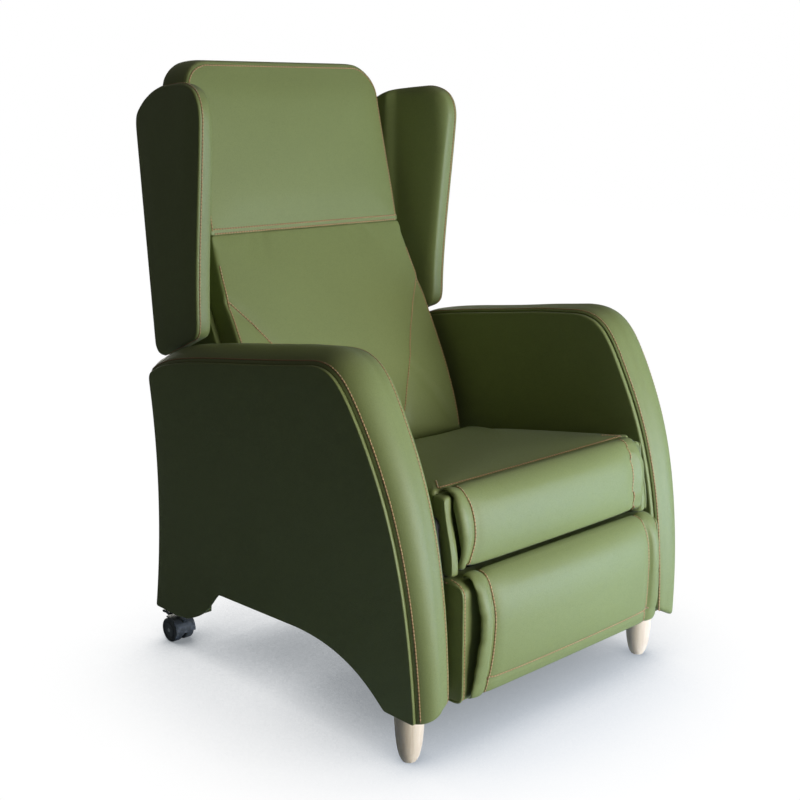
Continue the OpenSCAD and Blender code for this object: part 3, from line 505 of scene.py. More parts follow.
def swell(skin: Skin, pressure: float, cap: float, share: float) -> None:
    """Blows a cushion up as cloth under pressure, with its seams and its back held.

    Args:
        skin: the cushion; it is changed in place.
        pressure: inner pressure of the cloth.
        cap: farthest that a point may move, in millimetres.
        share: how much of the movement is kept.
    """
    mesh = skin.mesh()
    obj = link(skin.name + "_cloth", mesh)
    obj.vertex_groups.new(name="held").add([int(i) for i in np.where(skin.held)[0]], 1.0, "REPLACE")
    cloth = obj.modifiers.new("Cloth", "CLOTH")
    for key, value in CLOTH.items():
        setattr(cloth.settings, key, value)
    cloth.settings.uniform_pressure_force = pressure
    cloth.settings.effector_weights.gravity = 0
    cloth.collision_settings.use_collision = False
    cloth.point_cache.frame_start, cloth.point_cache.frame_end = 1, CLOTH_FRAMES
    scene = bpy.context.scene
    for step in range(1, CLOTH_FRAMES + 1):
        scene.frame_set(step)
    shown = obj.evaluated_get(bpy.context.evaluated_depsgraph_get()).to_mesh()
    now = np.empty(len(shown.vertices) * 3)
    shown.vertices.foreach_get("co", now)
    move = now.reshape(-1, 3) / MM - skin.verts
    length = np.linalg.norm(move, axis=1, keepdims=True)
    move *= np.where(length > cap, cap / np.maximum(length, TINY), 1.0) * share
    skin.verts = skin.verts + move
    scene.frame_set(1)
    bpy.data.objects.remove(obj)
    bpy.data.meshes.remove(mesh)
    log.info("%s swelled by up to %.1f mm", skin.name, float(np.linalg.norm(move, axis=1).max()))


# Finishes


FLOAT, COLOUR = "NodeSocketFloat", "NodeSocketColor"


class Graph:
    """A node tree that is being wired."""

    def __init__(self, tree: bpy.types.NodeTree) -> None:
        """Starts on a tree."""
        self.tree = tree

    def node(self, kind: str, settings: dict | None = None, **inputs: object) -> bpy.types.Node:
        """Adds a node.

        Args:
            kind: its type name after "ShaderNode".
            settings: its attributes.
            inputs: values or sockets by input name, with _ for a space; iN is the input at place N.

        Returns:
            The node.
        """
        made = self.tree.nodes.new("ShaderNode" + kind)
        for key, value in (settings or {}).items():
            setattr(made, key, value)
        self.feed(made, **inputs)
        return made

    def feed(self, node: bpy.types.Node, **inputs: object) -> None:
        """Sets or links inputs of a node, named as node() names them."""
        for key, value in inputs.items():
            numbered = key[0] == "i" and key[1:].isdigit()
            spot = node.inputs[int(key[1:]) if numbered else key.replace("_", " ")]
            if isinstance(value, Socket):
                self.tree.links.new(value, spot)
            else:
                spot.default_value = value

    def math(self, how: str, a: object, b: object = 0.0, c: object = 0.0) -> Socket:
        """Adds a Math node and returns its value."""
        return self.node("Math", {"operation": how}, i0=a, i1=b, i2=c).outputs[0]

    def vector(self, how: str, **inputs: object) -> Socket:
        """Adds a Vector Math node and returns its value."""
        return self.node("VectorMath", {"operation": how}, **inputs).outputs[0]

    def span(self, value: Socket, a: float, b: float, low: float = 0.0, high: float = 1.0) -> Socket:
        """Maps a to b smoothly onto low to high."""
        return self.node("MapRange", {"interpolation_type": "SMOOTHSTEP"}, i0=value, i1=a, i2=b,
                         i3=low, i4=high).outputs[0]

    def mix(self, share: object, a: object, b: object) -> Socket:
        """Mixes two colours and returns the result."""
        return self.node("Mix", {"data_type": "RGBA"}, i0=share, i6=a, i7=b).outputs[2]

    def spot(self) -> Socket:
        """The place on the object."""
        return self.node("TexCoord").outputs["Object"]

    def noise(self, where: Socket, scale: object, detail: float, **more: float) -> Socket:
        """Adds a noise texture and returns its value."""
        return self.node("TexNoise", Vector=where, Scale=scale, Detail=detail, **more).outputs["Fac"]

    def group(self, tree: bpy.types.NodeTree, **inputs: object) -> bpy.types.Node:
        """Places a node group with its input values."""
        return self.node("Group", {"node_tree": tree}, **inputs)


def effect(name: str, takes: dict[str, object], gives: dict[str, str]) -> tuple[Graph, dict, bpy.types.Node]:
    """Starts a shader node group with named inputs and outputs.

    Args:
        name: name of the group.
        takes: default values of its inputs, a colour as four numbers.
        gives: types of its outputs.

    Returns:
        Its graph, its input sockets by name, and the node that takes its outputs.
    """
    tree = bpy.data.node_groups.new(name, "ShaderNodeTree")
    for word, value in takes.items():
        kind = COLOUR if isinstance(value, tuple) else FLOAT
        tree.interface.new_socket(name=word, in_out="INPUT", socket_type=kind).default_value = value
    for word, kind in gives.items():
        tree.interface.new_socket(name=word, in_out="OUTPUT", socket_type=kind)
    start, end = tree.nodes.new("NodeGroupInput"), tree.nodes.new("NodeGroupOutput")
    return Graph(tree), {s.name: s for s in start.outputs if s.name}, end


def make_grain() -> bpy.types.NodeTree:
    """Grain of leathercloth: pebbles with creases between them, over soft puckers."""
    g, ins, end = effect("grain", {"Cells": 850.0, "Pucker": 0.35}, {"Height": FLOAT, "Crease": FLOAT})
    where = g.spot()
    warp = g.node("TexNoise", Vector=where, Scale=260.0, Detail=2.0)
    bent = g.vector("MULTIPLY_ADD", i0=warp.outputs["Color"], i1=(0.0012, 0.0012, 0.0012), i2=where)
    cells = g.node("TexVoronoi", {"feature": "SMOOTH_F1"}, Vector=bent, Scale=ins["Cells"], Smoothness=0.35)
    crease = g.span(cells.outputs["Distance"], 0.35, 0.75)
    pebble = g.math("MULTIPLY", g.math("SUBTRACT", 1.0, crease), 0.12)
    soft = g.math("SUBTRACT", g.noise(where, 70.0, 3.0, Roughness=0.55), 0.5)
    g.feed(end, Height=g.math("MULTIPLY_ADD", soft, ins["Pucker"], pebble), Crease=crease)
    return g.tree


def make_tone() -> bpy.types.NodeTree:
    """Slow and quick changes of a colour over a surface."""
    g, ins, end = effect("tone", {"Colour": (0.5, 0.5, 0.5, 1.0), "Amount": 0.12, "Scale": 5.0}, {"Colour": COLOUR})
    where = g.spot()
    slow = g.math("MULTIPLY", g.noise(where, ins["Scale"], 3.0), 0.7)
    quick = g.math("MULTIPLY", g.noise(where, g.math("MULTIPLY", ins["Scale"], 14.0), 2.0), 0.3)
    change = g.math("SUBTRACT", g.math("ADD", slow, quick), 0.5)
    gain = g.math("MULTIPLY_ADD", change, g.math("MULTIPLY", ins["Amount"], 2.0), 1.0)
    g.feed(end, Colour=g.vector("SCALE", i0=ins["Colour"], Scale=gain))
    return g.tree


def make_wear() -> bpy.types.NodeTree:
    """Wear along edges, as a mask from how sharply the surface bends, broken up by noise."""
    g, _, end = effect("edge_wear", {}, {"Mask": FLOAT})
    bend = g.span(g.node("NewGeometry").outputs["Pointiness"], 0.52, 0.62)
    g.feed(end, Mask=g.math("MULTIPLY", bend, g.span(g.noise(g.spot(), 90.0, 4.0), 0.40, 0.62)))
    return g.tree


def make_dust() -> bpy.types.NodeTree:
    """Fine dust on what faces up, as a mask."""
    g, ins, end = effect("dust", {"Amount": 0.15}, {"Mask": FLOAT})
    up = g.node("SeparateXYZ", i0=g.node("NewGeometry").outputs["Normal"]).outputs[2]
    mask = g.math("MULTIPLY", g.span(up, 0.3, 1.0), g.span(g.noise(g.spot(), 420.0, 3.0), 0.45, 0.75))
    g.feed(end, Mask=g.math("MULTIPLY", mask, ins["Amount"]))
    return g.tree


def make_wood() -> bpy.types.NodeTree:
    """Straight wood grain along Z: growth bands, pores and their height."""
    g, ins, end = effect("wood_grain", {"Light": (0.6, 0.5, 0.36, 1.0), "Dark": (0.4, 0.3, 0.2, 1.0), "Scale": 90.0},
                         {"Colour": COLOUR, "Height": FLOAT})
    drawn = g.vector("MULTIPLY", i0=g.spot(), i1=(1.0, 1.0, 0.06))
    bands = g.noise(drawn, ins["Scale"], 4.0, Distortion=0.8)
    pores = g.noise(drawn, g.math("MULTIPLY", ins["Scale"], 14.0), 1.0)
    dark = g.math("MULTIPLY_ADD", g.span(pores, 0.58, 0.7), 0.35,
                  g.math("MULTIPLY", g.span(bands, 0.35, 0.7), 0.65))
    g.feed(end, Colour=g.mix(dark, ins["Light"], ins["Dark"]), Height=g.math("SUBTRACT", 1.0, dark))
    return g.tree


def make_weave() -> bpy.types.NodeTree:
    """Plain weave of webbing and felt: two crossed rows of yarns."""
    g, ins, end = effect("weave", {"Yarns": 500.0}, {"Height": FLOAT})
    where = g.spot()
    rows = [g.node("TexWave", {"bands_direction": way}, Vector=where, Scale=ins["Yarns"], Distortion=1.5,
                   Detail=1.0).outputs["Fac"] for way in ("X", "Y", "Z")]
    g.feed(end, Height=g.math("MAXIMUM", g.math("MULTIPLY", rows[0], rows[1]), rows[2]))
    return g.tree


@dataclass
class Effects:
    """The shared node groups."""

    grain: bpy.types.NodeTree = field(default_factory=make_grain)
    tone: bpy.types.NodeTree = field(default_factory=make_tone)
    wear: bpy.types.NodeTree = field(default_factory=make_wear)
    dust: bpy.types.NodeTree = field(default_factory=make_dust)
    wood: bpy.types.NodeTree = field(default_factory=make_wood)
    weave: bpy.types.NodeTree = field(default_factory=make_weave)


def start_material(name: str, **sockets: object) -> tuple[Graph, bpy.types.Node]:
    """Starts a material with a Principled shader.

    Args:
        name: name of the material.
        sockets: uniform values for the shader's own sockets, with _ for a space.

    Returns:
        The graph and the shader node.
    """
    made = bpy.data.materials.new(name)
    made.use_nodes = True
    graph = Graph(made.node_tree)
    shader = made.node_tree.nodes["Principled BSDF"]
    graph.feed(shader, **sockets)
    return graph, shader


def add_bump(g: Graph, shader: bpy.types.Node, height: Socket, strength: float, distance: float) -> None:
    """Feeds a height into the shader's normal.

    Args:
        g: the material's graph.
        shader: its Principled shader.
        height: the height.
        strength: strength of the bump.
        distance: how far the height of 1 stands up, in metres.
    """
    g.feed(shader, Normal=g.node("Bump", Height=height, Strength=strength, Distance=distance).outputs[0])


@dataclass(frozen=True)
class Leathercloth:
    """Sage green upholstery vinyl with a fine pebble grain."""

    name: str = "sage_leathercloth"
    colour: Colour = (0.220, 0.254, 0.086, 1.0)
    # Darker colour in the grain's creases: painted shade.
    creased: Colour = (0.10, 0.12, 0.04, 1.0)
    worn: Colour = (0.30, 0.33, 0.14, 1.0)
    dust: Colour = (0.5, 0.5, 0.45, 1.0)
    roughness: float = 0.47

    def make(self, effects: Effects) -> bpy.types.Material:
        """Builds the material."""
        g, shader = start_material(self.name, Sheen_Weight=0.06, Sheen_Roughness=0.45, IOR=1.46,
                                   Sheen_Tint=(0.85, 0.95, 1.0, 1.0))
        grain = g.group(effects.grain, Cells=850.0, Pucker=0.35)
        crease = grain.outputs["Crease"]
        tone = g.group(effects.tone, Colour=self.colour, Amount=0.10, Scale=6.0).outputs[0]
        wear = g.group(effects.wear).outputs[0]
        # Lighter on worn edges, and darker in the grain's creases as painted shade.
        worn_and_crease_shaded = g.mix(g.math("MULTIPLY", wear, 0.35),
                       g.mix(g.math("MULTIPLY", crease, 0.22), tone, self.creased), self.worn)
        rough = g.math("MULTIPLY_ADD", crease, 0.12, self.roughness)
        g.feed(shader, Base_Color=g.mix(g.group(effects.dust, Amount=0.05).outputs[0], worn_and_crease_shaded, self.dust),
               Roughness=g.math("SUBTRACT", rough, g.math("MULTIPLY", wear, 0.08)))
        add_bump(g, shader, grain.outputs["Height"], strength=0.55, distance=0.0011)
        return bpy.data.materials[self.name]


@dataclass(frozen=True)
class Thread:
    """Twisted sewing thread."""

    name: str = "tan_thread"
    colour: Colour = (0.54, 0.335, 0.15, 1.0)
    # Darker colour in the grooves of the twist: painted shade between the plies.
    twisted: Colour = (0.26, 0.13, 0.045, 1.0)

    def make(self, effects: Effects) -> bpy.types.Material:
        """Builds the material."""
        g, shader = start_material(self.name, Sheen_Weight=0.25, Sheen_Roughness=0.5)
        tone = g.group(effects.tone, Colour=self.colour, Amount=0.22, Scale=30.0).outputs[0]
        twist = g.node("TexWave", {"bands_direction": "DIAGONAL"}, Vector=g.spot(), Scale=900.0,
                       Distortion=1.0).outputs["Fac"]
        # Painted shade: the twist's grooves are coloured darker.
        g.feed(shader, Base_Color=g.mix(g.math("MULTIPLY", twist, 0.45), tone, self.twisted),
               Roughness=g.span(twist, 0.0, 1.0, 0.75, 0.6))
        add_bump(g, shader, twist, strength=0.5, distance=0.0003)
        return bpy.data.materials[self.name]


@dataclass(frozen=True)
class Timber:
    """Sawn or turned wood."""

    name: str
    light: Colour
    dark: Colour
    roughness: float
    coat: float
    scale: float

    def make(self, effects: Effects) -> bpy.types.Material:
        """Builds the material."""
        g, shader = start_material(self.name, Coat_Weight=self.coat, Coat_Roughness=0.25)
        wood = g.group(effects.wood, Light=self.light, Dark=self.dark, Scale=self.scale)
        height = wood.outputs["Height"]
        tone = g.group(effects.tone, Colour=wood.outputs["Colour"], Amount=0.08, Scale=9.0).outputs[0]
        wear = g.math("MULTIPLY", g.group(effects.wear).outputs[0], 0.3)
        g.feed(shader, Base_Color=g.mix(wear, tone, self.light),
               Roughness=g.span(height, 0.0, 1.0, self.roughness + 0.12, self.roughness))
        add_bump(g, shader, height, strength=0.25, distance=0.0004)
        return bpy.data.materials[self.name]


@dataclass(frozen=True)
class Metal:
    """Plated, painted or brushed steel."""

    name: str
    colour: Colour
    edge: Colour
    roughness: float
    metallic: float
    dust: Colour = (0.35, 0.33, 0.3, 1.0)

    def make(self, effects: Effects) -> bpy.types.Material:
        """Builds the material."""
        g, shader = start_material(self.name)
        tone = g.group(effects.tone, Colour=self.colour, Amount=0.10, Scale=25.0).outputs[0]
        wear = g.group(effects.wear).outputs[0]
        dusty = g.mix(g.group(effects.dust, Amount=0.12).outputs[0], g.mix(wear, tone, self.edge), self.dust)
        brushed = g.noise(g.vector("MULTIPLY", i0=g.spot(), i1=(1.0, 0.08, 1.0)), 900.0, 2.0)
        g.feed(shader, Base_Color=dusty, Roughness=g.span(brushed, 0.3, 0.7, self.roughness, self.roughness + 0.1),
               Metallic=g.math("MULTIPLY_ADD", wear, 0.3, self.metallic))
        add_bump(g, shader, brushed, strength=0.15, distance=0.0002)
        return bpy.data.materials[self.name]


@dataclass(frozen=True)
class Woven:
    """Webbing, felt and other cloth."""

    name: str
    colour: Colour
    yarns: float
    bump: float

    def make(self, effects: Effects) -> bpy.types.Material:
        """Builds the material."""
        g, shader = start_material(self.name, Sheen_Weight=0.3, Sheen_Roughness=0.6)
        tone = g.group(effects.tone, Colour=self.colour, Amount=0.2, Scale=40.0).outputs[0]
        weave = g.group(effects.weave, Yarns=self.yarns).outputs[0]
        # Darker colour between the yarns: painted shade in the gaps of the weave.
        dark = tuple(0.4 * c for c in self.colour[:3]) + (1.0,)
        g.feed(shader, Base_Color=g.mix(g.span(weave, 0.1, 0.8), dark, tone),
               Roughness=g.span(weave, 0.0, 1.0, 0.95, 0.8))
        add_bump(g, shader, weave, self.bump, distance=0.0006)
        return bpy.data.materials[self.name]


@dataclass(frozen=True)
class Moulded:
    """Moulded plastic with a fine spark texture."""

    name: str
    colour: Colour
    roughness: float
    dust: Colour = (0.4, 0.38, 0.35, 1.0)

    def make(self, effects: Effects) -> bpy.types.Material:
        """Builds the material."""
        g, shader = start_material(self.name, IOR=1.5)
        tone = g.group(effects.tone, Colour=self.colour, Amount=0.08, Scale=30.0).outputs[0]
        wear = g.math("MULTIPLY", g.group(effects.wear).outputs[0], 0.6)
        pale = tuple(min(1.0, 2.2 * c + 0.03) for c in self.colour[:3]) + (1.0,)
        spark = g.noise(g.spot(), 1800.0, 1.0)
        dust = g.group(effects.dust, Amount=0.2).outputs[0]
        g.feed(shader, Base_Color=g.mix(dust, g.mix(wear, tone, pale), self.dust),
               Roughness=g.span(spark, 0.3, 0.7, self.roughness, self.roughness + 0.12))
        add_bump(g, shader, spark, strength=0.3, distance=0.00015)
        return bpy.data.materials[self.name]


class Slot(Enum):
    """The record's material slots."""

    UPHOLSTERY = "upholstery"
    FRAME_TIMBER = "frame_timber"
    BEECH = "beech"
    BRIGHT_STEEL = "bright_steel"
    BLACK_STEEL = "black_steel"
    WEBBING = "webbing"
    FELT = "felt"
    NYLON = "nylon"
    CASTOR_PLASTIC = "castor_plastic"


FINISHES = {
    Slot.UPHOLSTERY: Leathercloth(),
    Slot.FRAME_TIMBER: Timber("frame_timber", (0.62, 0.47, 0.30, 1.0), (0.42, 0.28, 0.15, 1.0),
                              roughness=0.62, coat=0.0, scale=45.0),
    Slot.BEECH: Timber("natural_beech", (0.92, 0.76, 0.58, 1.0), (0.79, 0.61, 0.44, 1.0),
                       roughness=0.38, coat=0.25, scale=160.0),
    Slot.BRIGHT_STEEL: Metal("bright_steel", (0.62, 0.62, 0.60, 1.0), (0.8, 0.8, 0.8, 1.0),
                             roughness=0.24, metallic=0.7),
    Slot.BLACK_STEEL: Metal("black_steel", (0.016, 0.016, 0.017, 1.0), (0.10, 0.10, 0.10, 1.0),
                            roughness=0.60, metallic=0.0),
    Slot.WEBBING: Woven("elastic_webbing", (0.06, 0.055, 0.05, 1.0), yarns=500.0, bump=0.6),
    Slot.FELT: Woven("felt_pad", (0.22, 0.18, 0.13, 1.0), yarns=900.0, bump=0.35),
    Slot.NYLON: Moulded("nylon_bush", (0.75, 0.74, 0.70, 1.0), roughness=0.38),
    Slot.CASTOR_PLASTIC: Moulded("castor_nylon", (0.125, 0.138, 0.155, 1.0), roughness=0.42),
}


@dataclass
class Shop:
    """The finished materials, and the one place where pieces are handed to their bodies."""

    effects: Effects = field(default_factory=Effects)
    made: dict[Slot, bpy.types.Material] = field(init=False)
    thread: bpy.types.Material = field(init=False)
    # Dark cord material under the stitches: painted shade of the seams.
    bed: bpy.types.Material = field(init=False)
    bodies: dict[str, str] = field(init=False)

    def __post_init__(self) -> None:
        """Builds the finishes and looks up the body of each CAD node."""
        self.made = {slot: finish.make(self.effects) for slot, finish in FINISHES.items()}
        self.thread = Thread().make(self.effects)
        # Painted shade: a dark brown cord laid along each seam under its stitches.
        self.bed = Thread("seam_bed", (0.24, 0.145, 0.055, 1.0)).make(self.effects)
        self.bodies = {name: body_of(obj)[0] for name, obj in frame["nodes"].items()}

    def deliver(self, obj: bpy.types.Object, slot: Slot, node: str, stands_for: bool = True) -> bpy.types.Object:
        """Hands a piece to the body of a CAD node.

        Args:
            obj: the piece.
            slot: the record's slot of the piece; not used.
            node: the CAD node whose body it rides on.
            stands_for: whether it replaces that node.

        Returns:
            The same piece.
        """
        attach(obj, self.bodies[node])
        if stands_for:
            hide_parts(node)
        log.info("%s rides on %s, %d faces", obj.name, self.bodies[node], len(obj.data.polygons))
        return obj

    def upholster(self, skin: Skin, node: str, stands_for: bool = True) -> None:
        """Makes a covered piece and hands it to its body."""
        self.deliver(skin.make(self.made[Slot.UPHOLSTERY]), Slot.UPHOLSTERY, node, stands_for)


STITCH_SIDES = 6
STITCH_ROWS = ((-0.5, 0.35), (-0.34, 0.95), (0.34, 0.95), (0.5, 0.35))  # place along a stitch, share of its width
STITCH_RING = [(math.cos(a), math.sin(a)) for a in np.linspace(0, 2 * math.pi, STITCH_SIDES, endpoint=False)]
STITCH_POINTS = STITCH_SIDES * len(STITCH_ROWS)
STITCH_FACES = grid_faces(len(STITCH_ROWS), STITCH_SIDES, closed=True) + [
    tuple(range(STITCH_SIDES - 1, -1, -1)), tuple(range(STITCH_POINTS - STITCH_SIDES, STITCH_POINTS))]


def joined(name: str, verts: Sequence[Array], faces: Sequence[Sequence[tuple[int, ...]]]) -> Skin:
    """One skin from the points and faces of several closed parts."""
    starts = np.cumsum([0] + [len(part) for part in verts])
    return Skin(name, np.concatenate(verts),
                [tuple(i + int(start) for i in f) for start, part in zip(starts, faces) for f in part])


@dataclass
class Sewing:
    """Topstitching of one sub-assembly: single stitches laid on the cover, over a dark cord along each seam that is
    painted shade of the seam's groove.
    """

    name: str
    node: str
    pitch: float = 6.4
    long: float = 4.9
    wide: float = 3.2
    flat: float = 0.42
    lift: float = 0.15
    # The dark cord of painted seam shade: its radius, how far it sinks into the cover and its step.
    bed: float = 1.25
    bed_sunk: float = 0.25
    bed_step: float = 4.0
    stitches: list[Array] = field(default_factory=list)
    beds: list[Array] = field(default_factory=list)

    def stitch(self, tree: BVHTree, line: Array) -> None:
        """Lays stitches along a line in the chair's frame, each set down on the cover.

        Args:
            tree: the cover's search tree.
            line: the line.
        """
        s = arc_lengths(line)
        found = [tree.find_nearest(Vector(spot)) for spot in resample(line, self.bed_step)]
        self.beds.append(np.array([hit[0] for hit in found]) - self.bed_sunk * np.array([hit[1] for hit in found]))
        at = np.arange(self.pitch / 2, s[-1], self.pitch)
        runs = along(line, s, np.minimum(at + 1.0, s[-1])) - along(line, s, np.maximum(at - 1.0, 0))
        for spot, run in zip(along(line, s, at), runs):
            hit, normal = (np.array(v) for v in tree.find_nearest(Vector(spot))[:2])
            run = unit((run - normal * (run @ normal))[None])[0]
            across = np.cross(normal, run)
            self.stitches.append(np.array([
                hit + run * self.long * t + normal * self.lift +
                (across * c * 0.5 + normal * d * self.flat) * self.wide * r
                for t, r in STITCH_ROWS for c, d in STITCH_RING]))

    def finish(self, shop: Shop) -> None:
        """Joins all stitches into one piece and all cords of painted seam shade into another, and hands them over.
        """
        skin = joined(self.name, self.stitches, [STITCH_FACES] * len(self.stitches))
        shop.deliver(skin.make(shop.thread), Slot.UPHOLSTERY, self.node, stands_for=False)
        cords = [cord_round("bed", line, self.bed, sides=6) for line in self.beds]
        bed = joined(self.name.replace("stitching", "seam_bed"), [c.verts for c in cords], [c.faces for c in cords])
        shop.deliver(bed.make(shop.bed), Slot.UPHOLSTERY, self.node, stands_for=False)


def cord_round(name: str, line: Array, radius: float, closed: bool = False, sides: int = 8) -> Skin:
    """A piping cord along a line.

    Args:
        name: name of the piece.
        line: the points of its middle.
        radius: its radius.
        closed: whether it runs on to its start.
        sides: faces around it.

    Returns:
        The closed skin.
    """
    n = len(line)
    run = unit((np.roll(line, -1, 0) - np.roll(line, 1, 0)) if closed else np.gradient(line, axis=0))
    first = unit(np.cross(run, [0.3, 0.2, 1.0]))
    for i in range(1, n):
        if first[i] @ first[i - 1] < 0:
            first[i] *= -1
    second = np.cross(run, first)
    angles = np.linspace(0, 2 * math.pi, sides, endpoint=False)
    rows = np.stack([line + radius * (math.cos(a) * first + math.sin(a) * second) for a in angles], 1)
    if not closed:
        return tube_of_rows(name, rows)
    last = (n - 1) * sides
    faces = grid_faces(n, sides, closed=True)
    faces += [(last + j, j, (j + 1) % sides, last + (j + 1) % sides) for j in range(sides)]
    return Skin(name, rows.reshape(-1, 3), faces).turn_out()


# Sub-assemblies


@dataclass
class Arm:
    """One padded side: the band over its edge, the outer panel and the inner panel.

    Its widths are set at the seams, seam_x inside and lean_x outside. toe is how far the inner end of a row of
    the band lies behind its outer end at the front foot.
    """

    side: Side
    seam_x: float = 287.0
    lean_x0: float = 346.753
    lean: float = math.tan(math.radians(3.3))
    panel: float = 6.3
    crown: float = 14.0
    outer_crown: float = 5.0
    top_rise: float = 7.0
    toe: float = 27.0
    band: float = 12.0
    inner_face: float = 279.0
    stitch_share: float = 0.048
    step: float = 5.5
    front_reach: float = 130.0

    def path(self, up: float, ahead: float) -> Array:
        """Edge of the side in Y and Z, from the rear foot over the top to the front foot."""
        return np.concatenate([
            bezier([[372, 76], [303, 330], [318, 556 + up]], 80),
            bezier([[318, 556 + up], [318, 574 + up], [300, 578 + up]], 8, 1),
            bezier([[300, 578 + up], [240, 614 + up], [80, 620 + up], [-170, 658 + up]], 90, 1),
            bezier([[-170, 658 + up], [-224 - ahead, 664 + up], [-245 - ahead, 640 + up / 2],
                    [-285 - ahead, 568]], 36, 1),
            bezier([[-285 - ahead, 568], [-346 - ahead, 455], [-382 - ahead, 330], [-383 - ahead, 91]], 96, 1)])

    def inner_path(self) -> Array:
        """Edge at the inner seam, which stands higher along the arm's top."""
        edge = self.path(12, 12)
        on_top = smooth(edge[:, 1], 570, 600) * smooth(edge[:, 0], -215, -60) * (1 - smooth(edge[:, 0], 235, 300))
        return edge + columns(0.0, self.top_rise * on_top)

    def crest(self, s: Array | float) -> Array:
        """Height of the band's crown across it, fuller towards the outer seam."""
        return self.crown * bump(s, 0, 1) ** 0.6 + self.outer_crown * bump(s, 0.3, 1)

    def lean_x(self, z: Array | float) -> Array | float:
        """Outer face of the side at a height."""
        return self.lean_x0 + np.asarray(z) * self.lean

    def strip(self, s: Array, places: Array, height: Array) -> Array:
        """Points of the band.

        Args:
            s: place across the band, 0 at the inner seam and 1 at the outer.
            places: index along the edge paths, with fractions.
            height: height over the edge surface, one for each place.

        Returns:
            Points in the chair's frame.
        """
        inner, outer = self.inner_path(), self.path(0, 0)
        index = np.arange(len(inner))
        low, high = (along(path, index, places) for path in (inner, outer))
        out = along(side_normals((inner + outer) / 2), index, places)
        flat = low + (high - low) * s[..., None] + out * height[..., None]
        x = self.seam_x + (self.lean_x(high[..., 1]) - self.panel - self.seam_x) * s
        return np.stack([self.side.value * x, flat[..., 0], flat[..., 1]], -1)

    def stations(self) -> Array:
        """Indices along the edge paths, closer together at both feet."""
        s = arc_lengths(self.path(0, 0))
        at = closer_ends((0, 1.2, 3, 5.5, 9), np.arange(14, s[-1] - 14, self.step), s[-1])
        return np.interp(at, s, np.arange(len(s)))

    def build_band(self) -> Skin:
        """Builds the band over the edge."""
        s_top = np.array([0, .006, .018, .04, .07, .11, .16, .22, .29, .36, .43, .5, .57, .64, .71, .78, .84, .89,
                          .93, .96, .982, .994, 1])
        s_low = np.linspace(1, 0, 9)[1:-1]
        length = arc_lengths(self.path(0, 0))
        index, far = np.arange(len(length)), length[-1]
        rows = []
        for a in np.interp(self.stations(), index, length):
            end = min(a, far - a)
            lift = self.toe * float(smooth(a, far - self.front_reach, far))
            quilt = 0.5 * np.sin(a / 47.0) * bump(s_top, 0, 1)
            parts = ((s_top, self.crest(s_top) + quilt - drop(end, 7.0, 8.0)),
                     (s_low, np.full(len(s_low), drop(end, 3.0, 5.0) - self.band)))
            rows.append(np.concatenate([
                self.strip(s, np.interp(a - lift * (1 - s) ** 1.3, length, index), h) for s, h in parts]))
        return tube_of_rows(f"arm_band_cover_{self.side.word}", np.array(rows))

    def build_outer(self) -> Skin:
        """Builds the outer panel, which leans out by its own angle."""
        arch = np.concatenate([
            bezier([[-311, 91], [-270, 130], [-215, 173], [-90, 173]], 24),
            bezier([[145, 165], [170, 153], [195, 84], [298, 76]], 24)])
        fill = fill_outline(rounded(np.concatenate([self.path(0, 0), arch]), radius=3.0, step=5.0), spacing=13.0,
                            rings=(0.8, 1.9, 3.4, 6.0, 10.0))

        def front(p: Array, d: Array) -> Array:
            """The padded face with its rolled edge."""
            soft = 0.5 * np.sin(p[:, 0] / 61.0 + 0.4) * np.sin(p[:, 1] / 83.0) * smooth(d, 10, 60)
            return 1.8 * smooth(d, 0, 30) + soft - drop(d, 1.1, 1.6)

        return shell(f"arm_outer_cover_{self.side.word}", fill,
                     lambda p, h: columns(self.side.value * (self.lean_x(p[:, 1]) + h), *p.T),
                     front, level(-6.0), side_rows=2)

    def build_inner(self) -> Skin:
        """Builds the inner panel beside the seat."""
        rear_foot, front_foot = 249.2, 115.0
        edge = self.inner_path()
        edge = edge - 2.0 * side_normals(edge)
        rear = np.arange(len(edge)) < np.argmax(edge[:, 1])
        kept = edge[edge[:, 1] > np.where(rear, rear_foot, front_foot)]
        corner = np.concatenate([kept, [[-321, front_foot], [-321, 333.4], [272.6, rear_foot]]])
        return shell(f"arm_inner_cover_{self.side.word}",
                     fill_outline(rounded(corner, radius=3.0, step=5.0), spacing=13.0, rings=(1.2, 2.8, 5.0, 9.0)),
                     lambda p, h: columns(self.side.value * (self.inner_face - h), *p.T),
                     lambda p, d: 0.8 * smooth(d, 4, 40) - drop(d, 2.4, 3.4), level(-8.0), side_rows=2)

    def build(self, shop: Shop) -> None:
        """Builds, sews and hands over the side."""
        word = self.side.word
        band, outer, inner = self.build_band(), self.build_outer(), self.build_inner()
        sewing = Sewing(f"arm_stitching_{word}", f"arm_band_{word}")
        tree = band.tree()
        steps = self.stations()[6:-3]
        for share in (self.stitch_share, 1 - self.stitch_share):
            s = np.full(len(steps), share)
            sewing.stitch(tree, self.strip(s, steps, self.crest(s)))
        shop.upholster(band, f"arm_band_{word}")
        shop.upholster(outer, f"arm_outer_panel_{word}")
        shop.upholster(inner, f"arm_inner_panel_{word}")
        sewing.finish(shop)


# Places over a pad's front between its seams, over an ear, and round an ear's edge
PAD_ACROSS = np.concatenate([[0, .012, .03, .06, .1], np.linspace(.15, .85, 33), [.9, .94, .97, .988, 1]])
EAR_OUT = np.array([.06, .16, .3, .48, .66, .82])
EAR_TURN = np.linspace(0.15, 1.0, 6) * math.pi


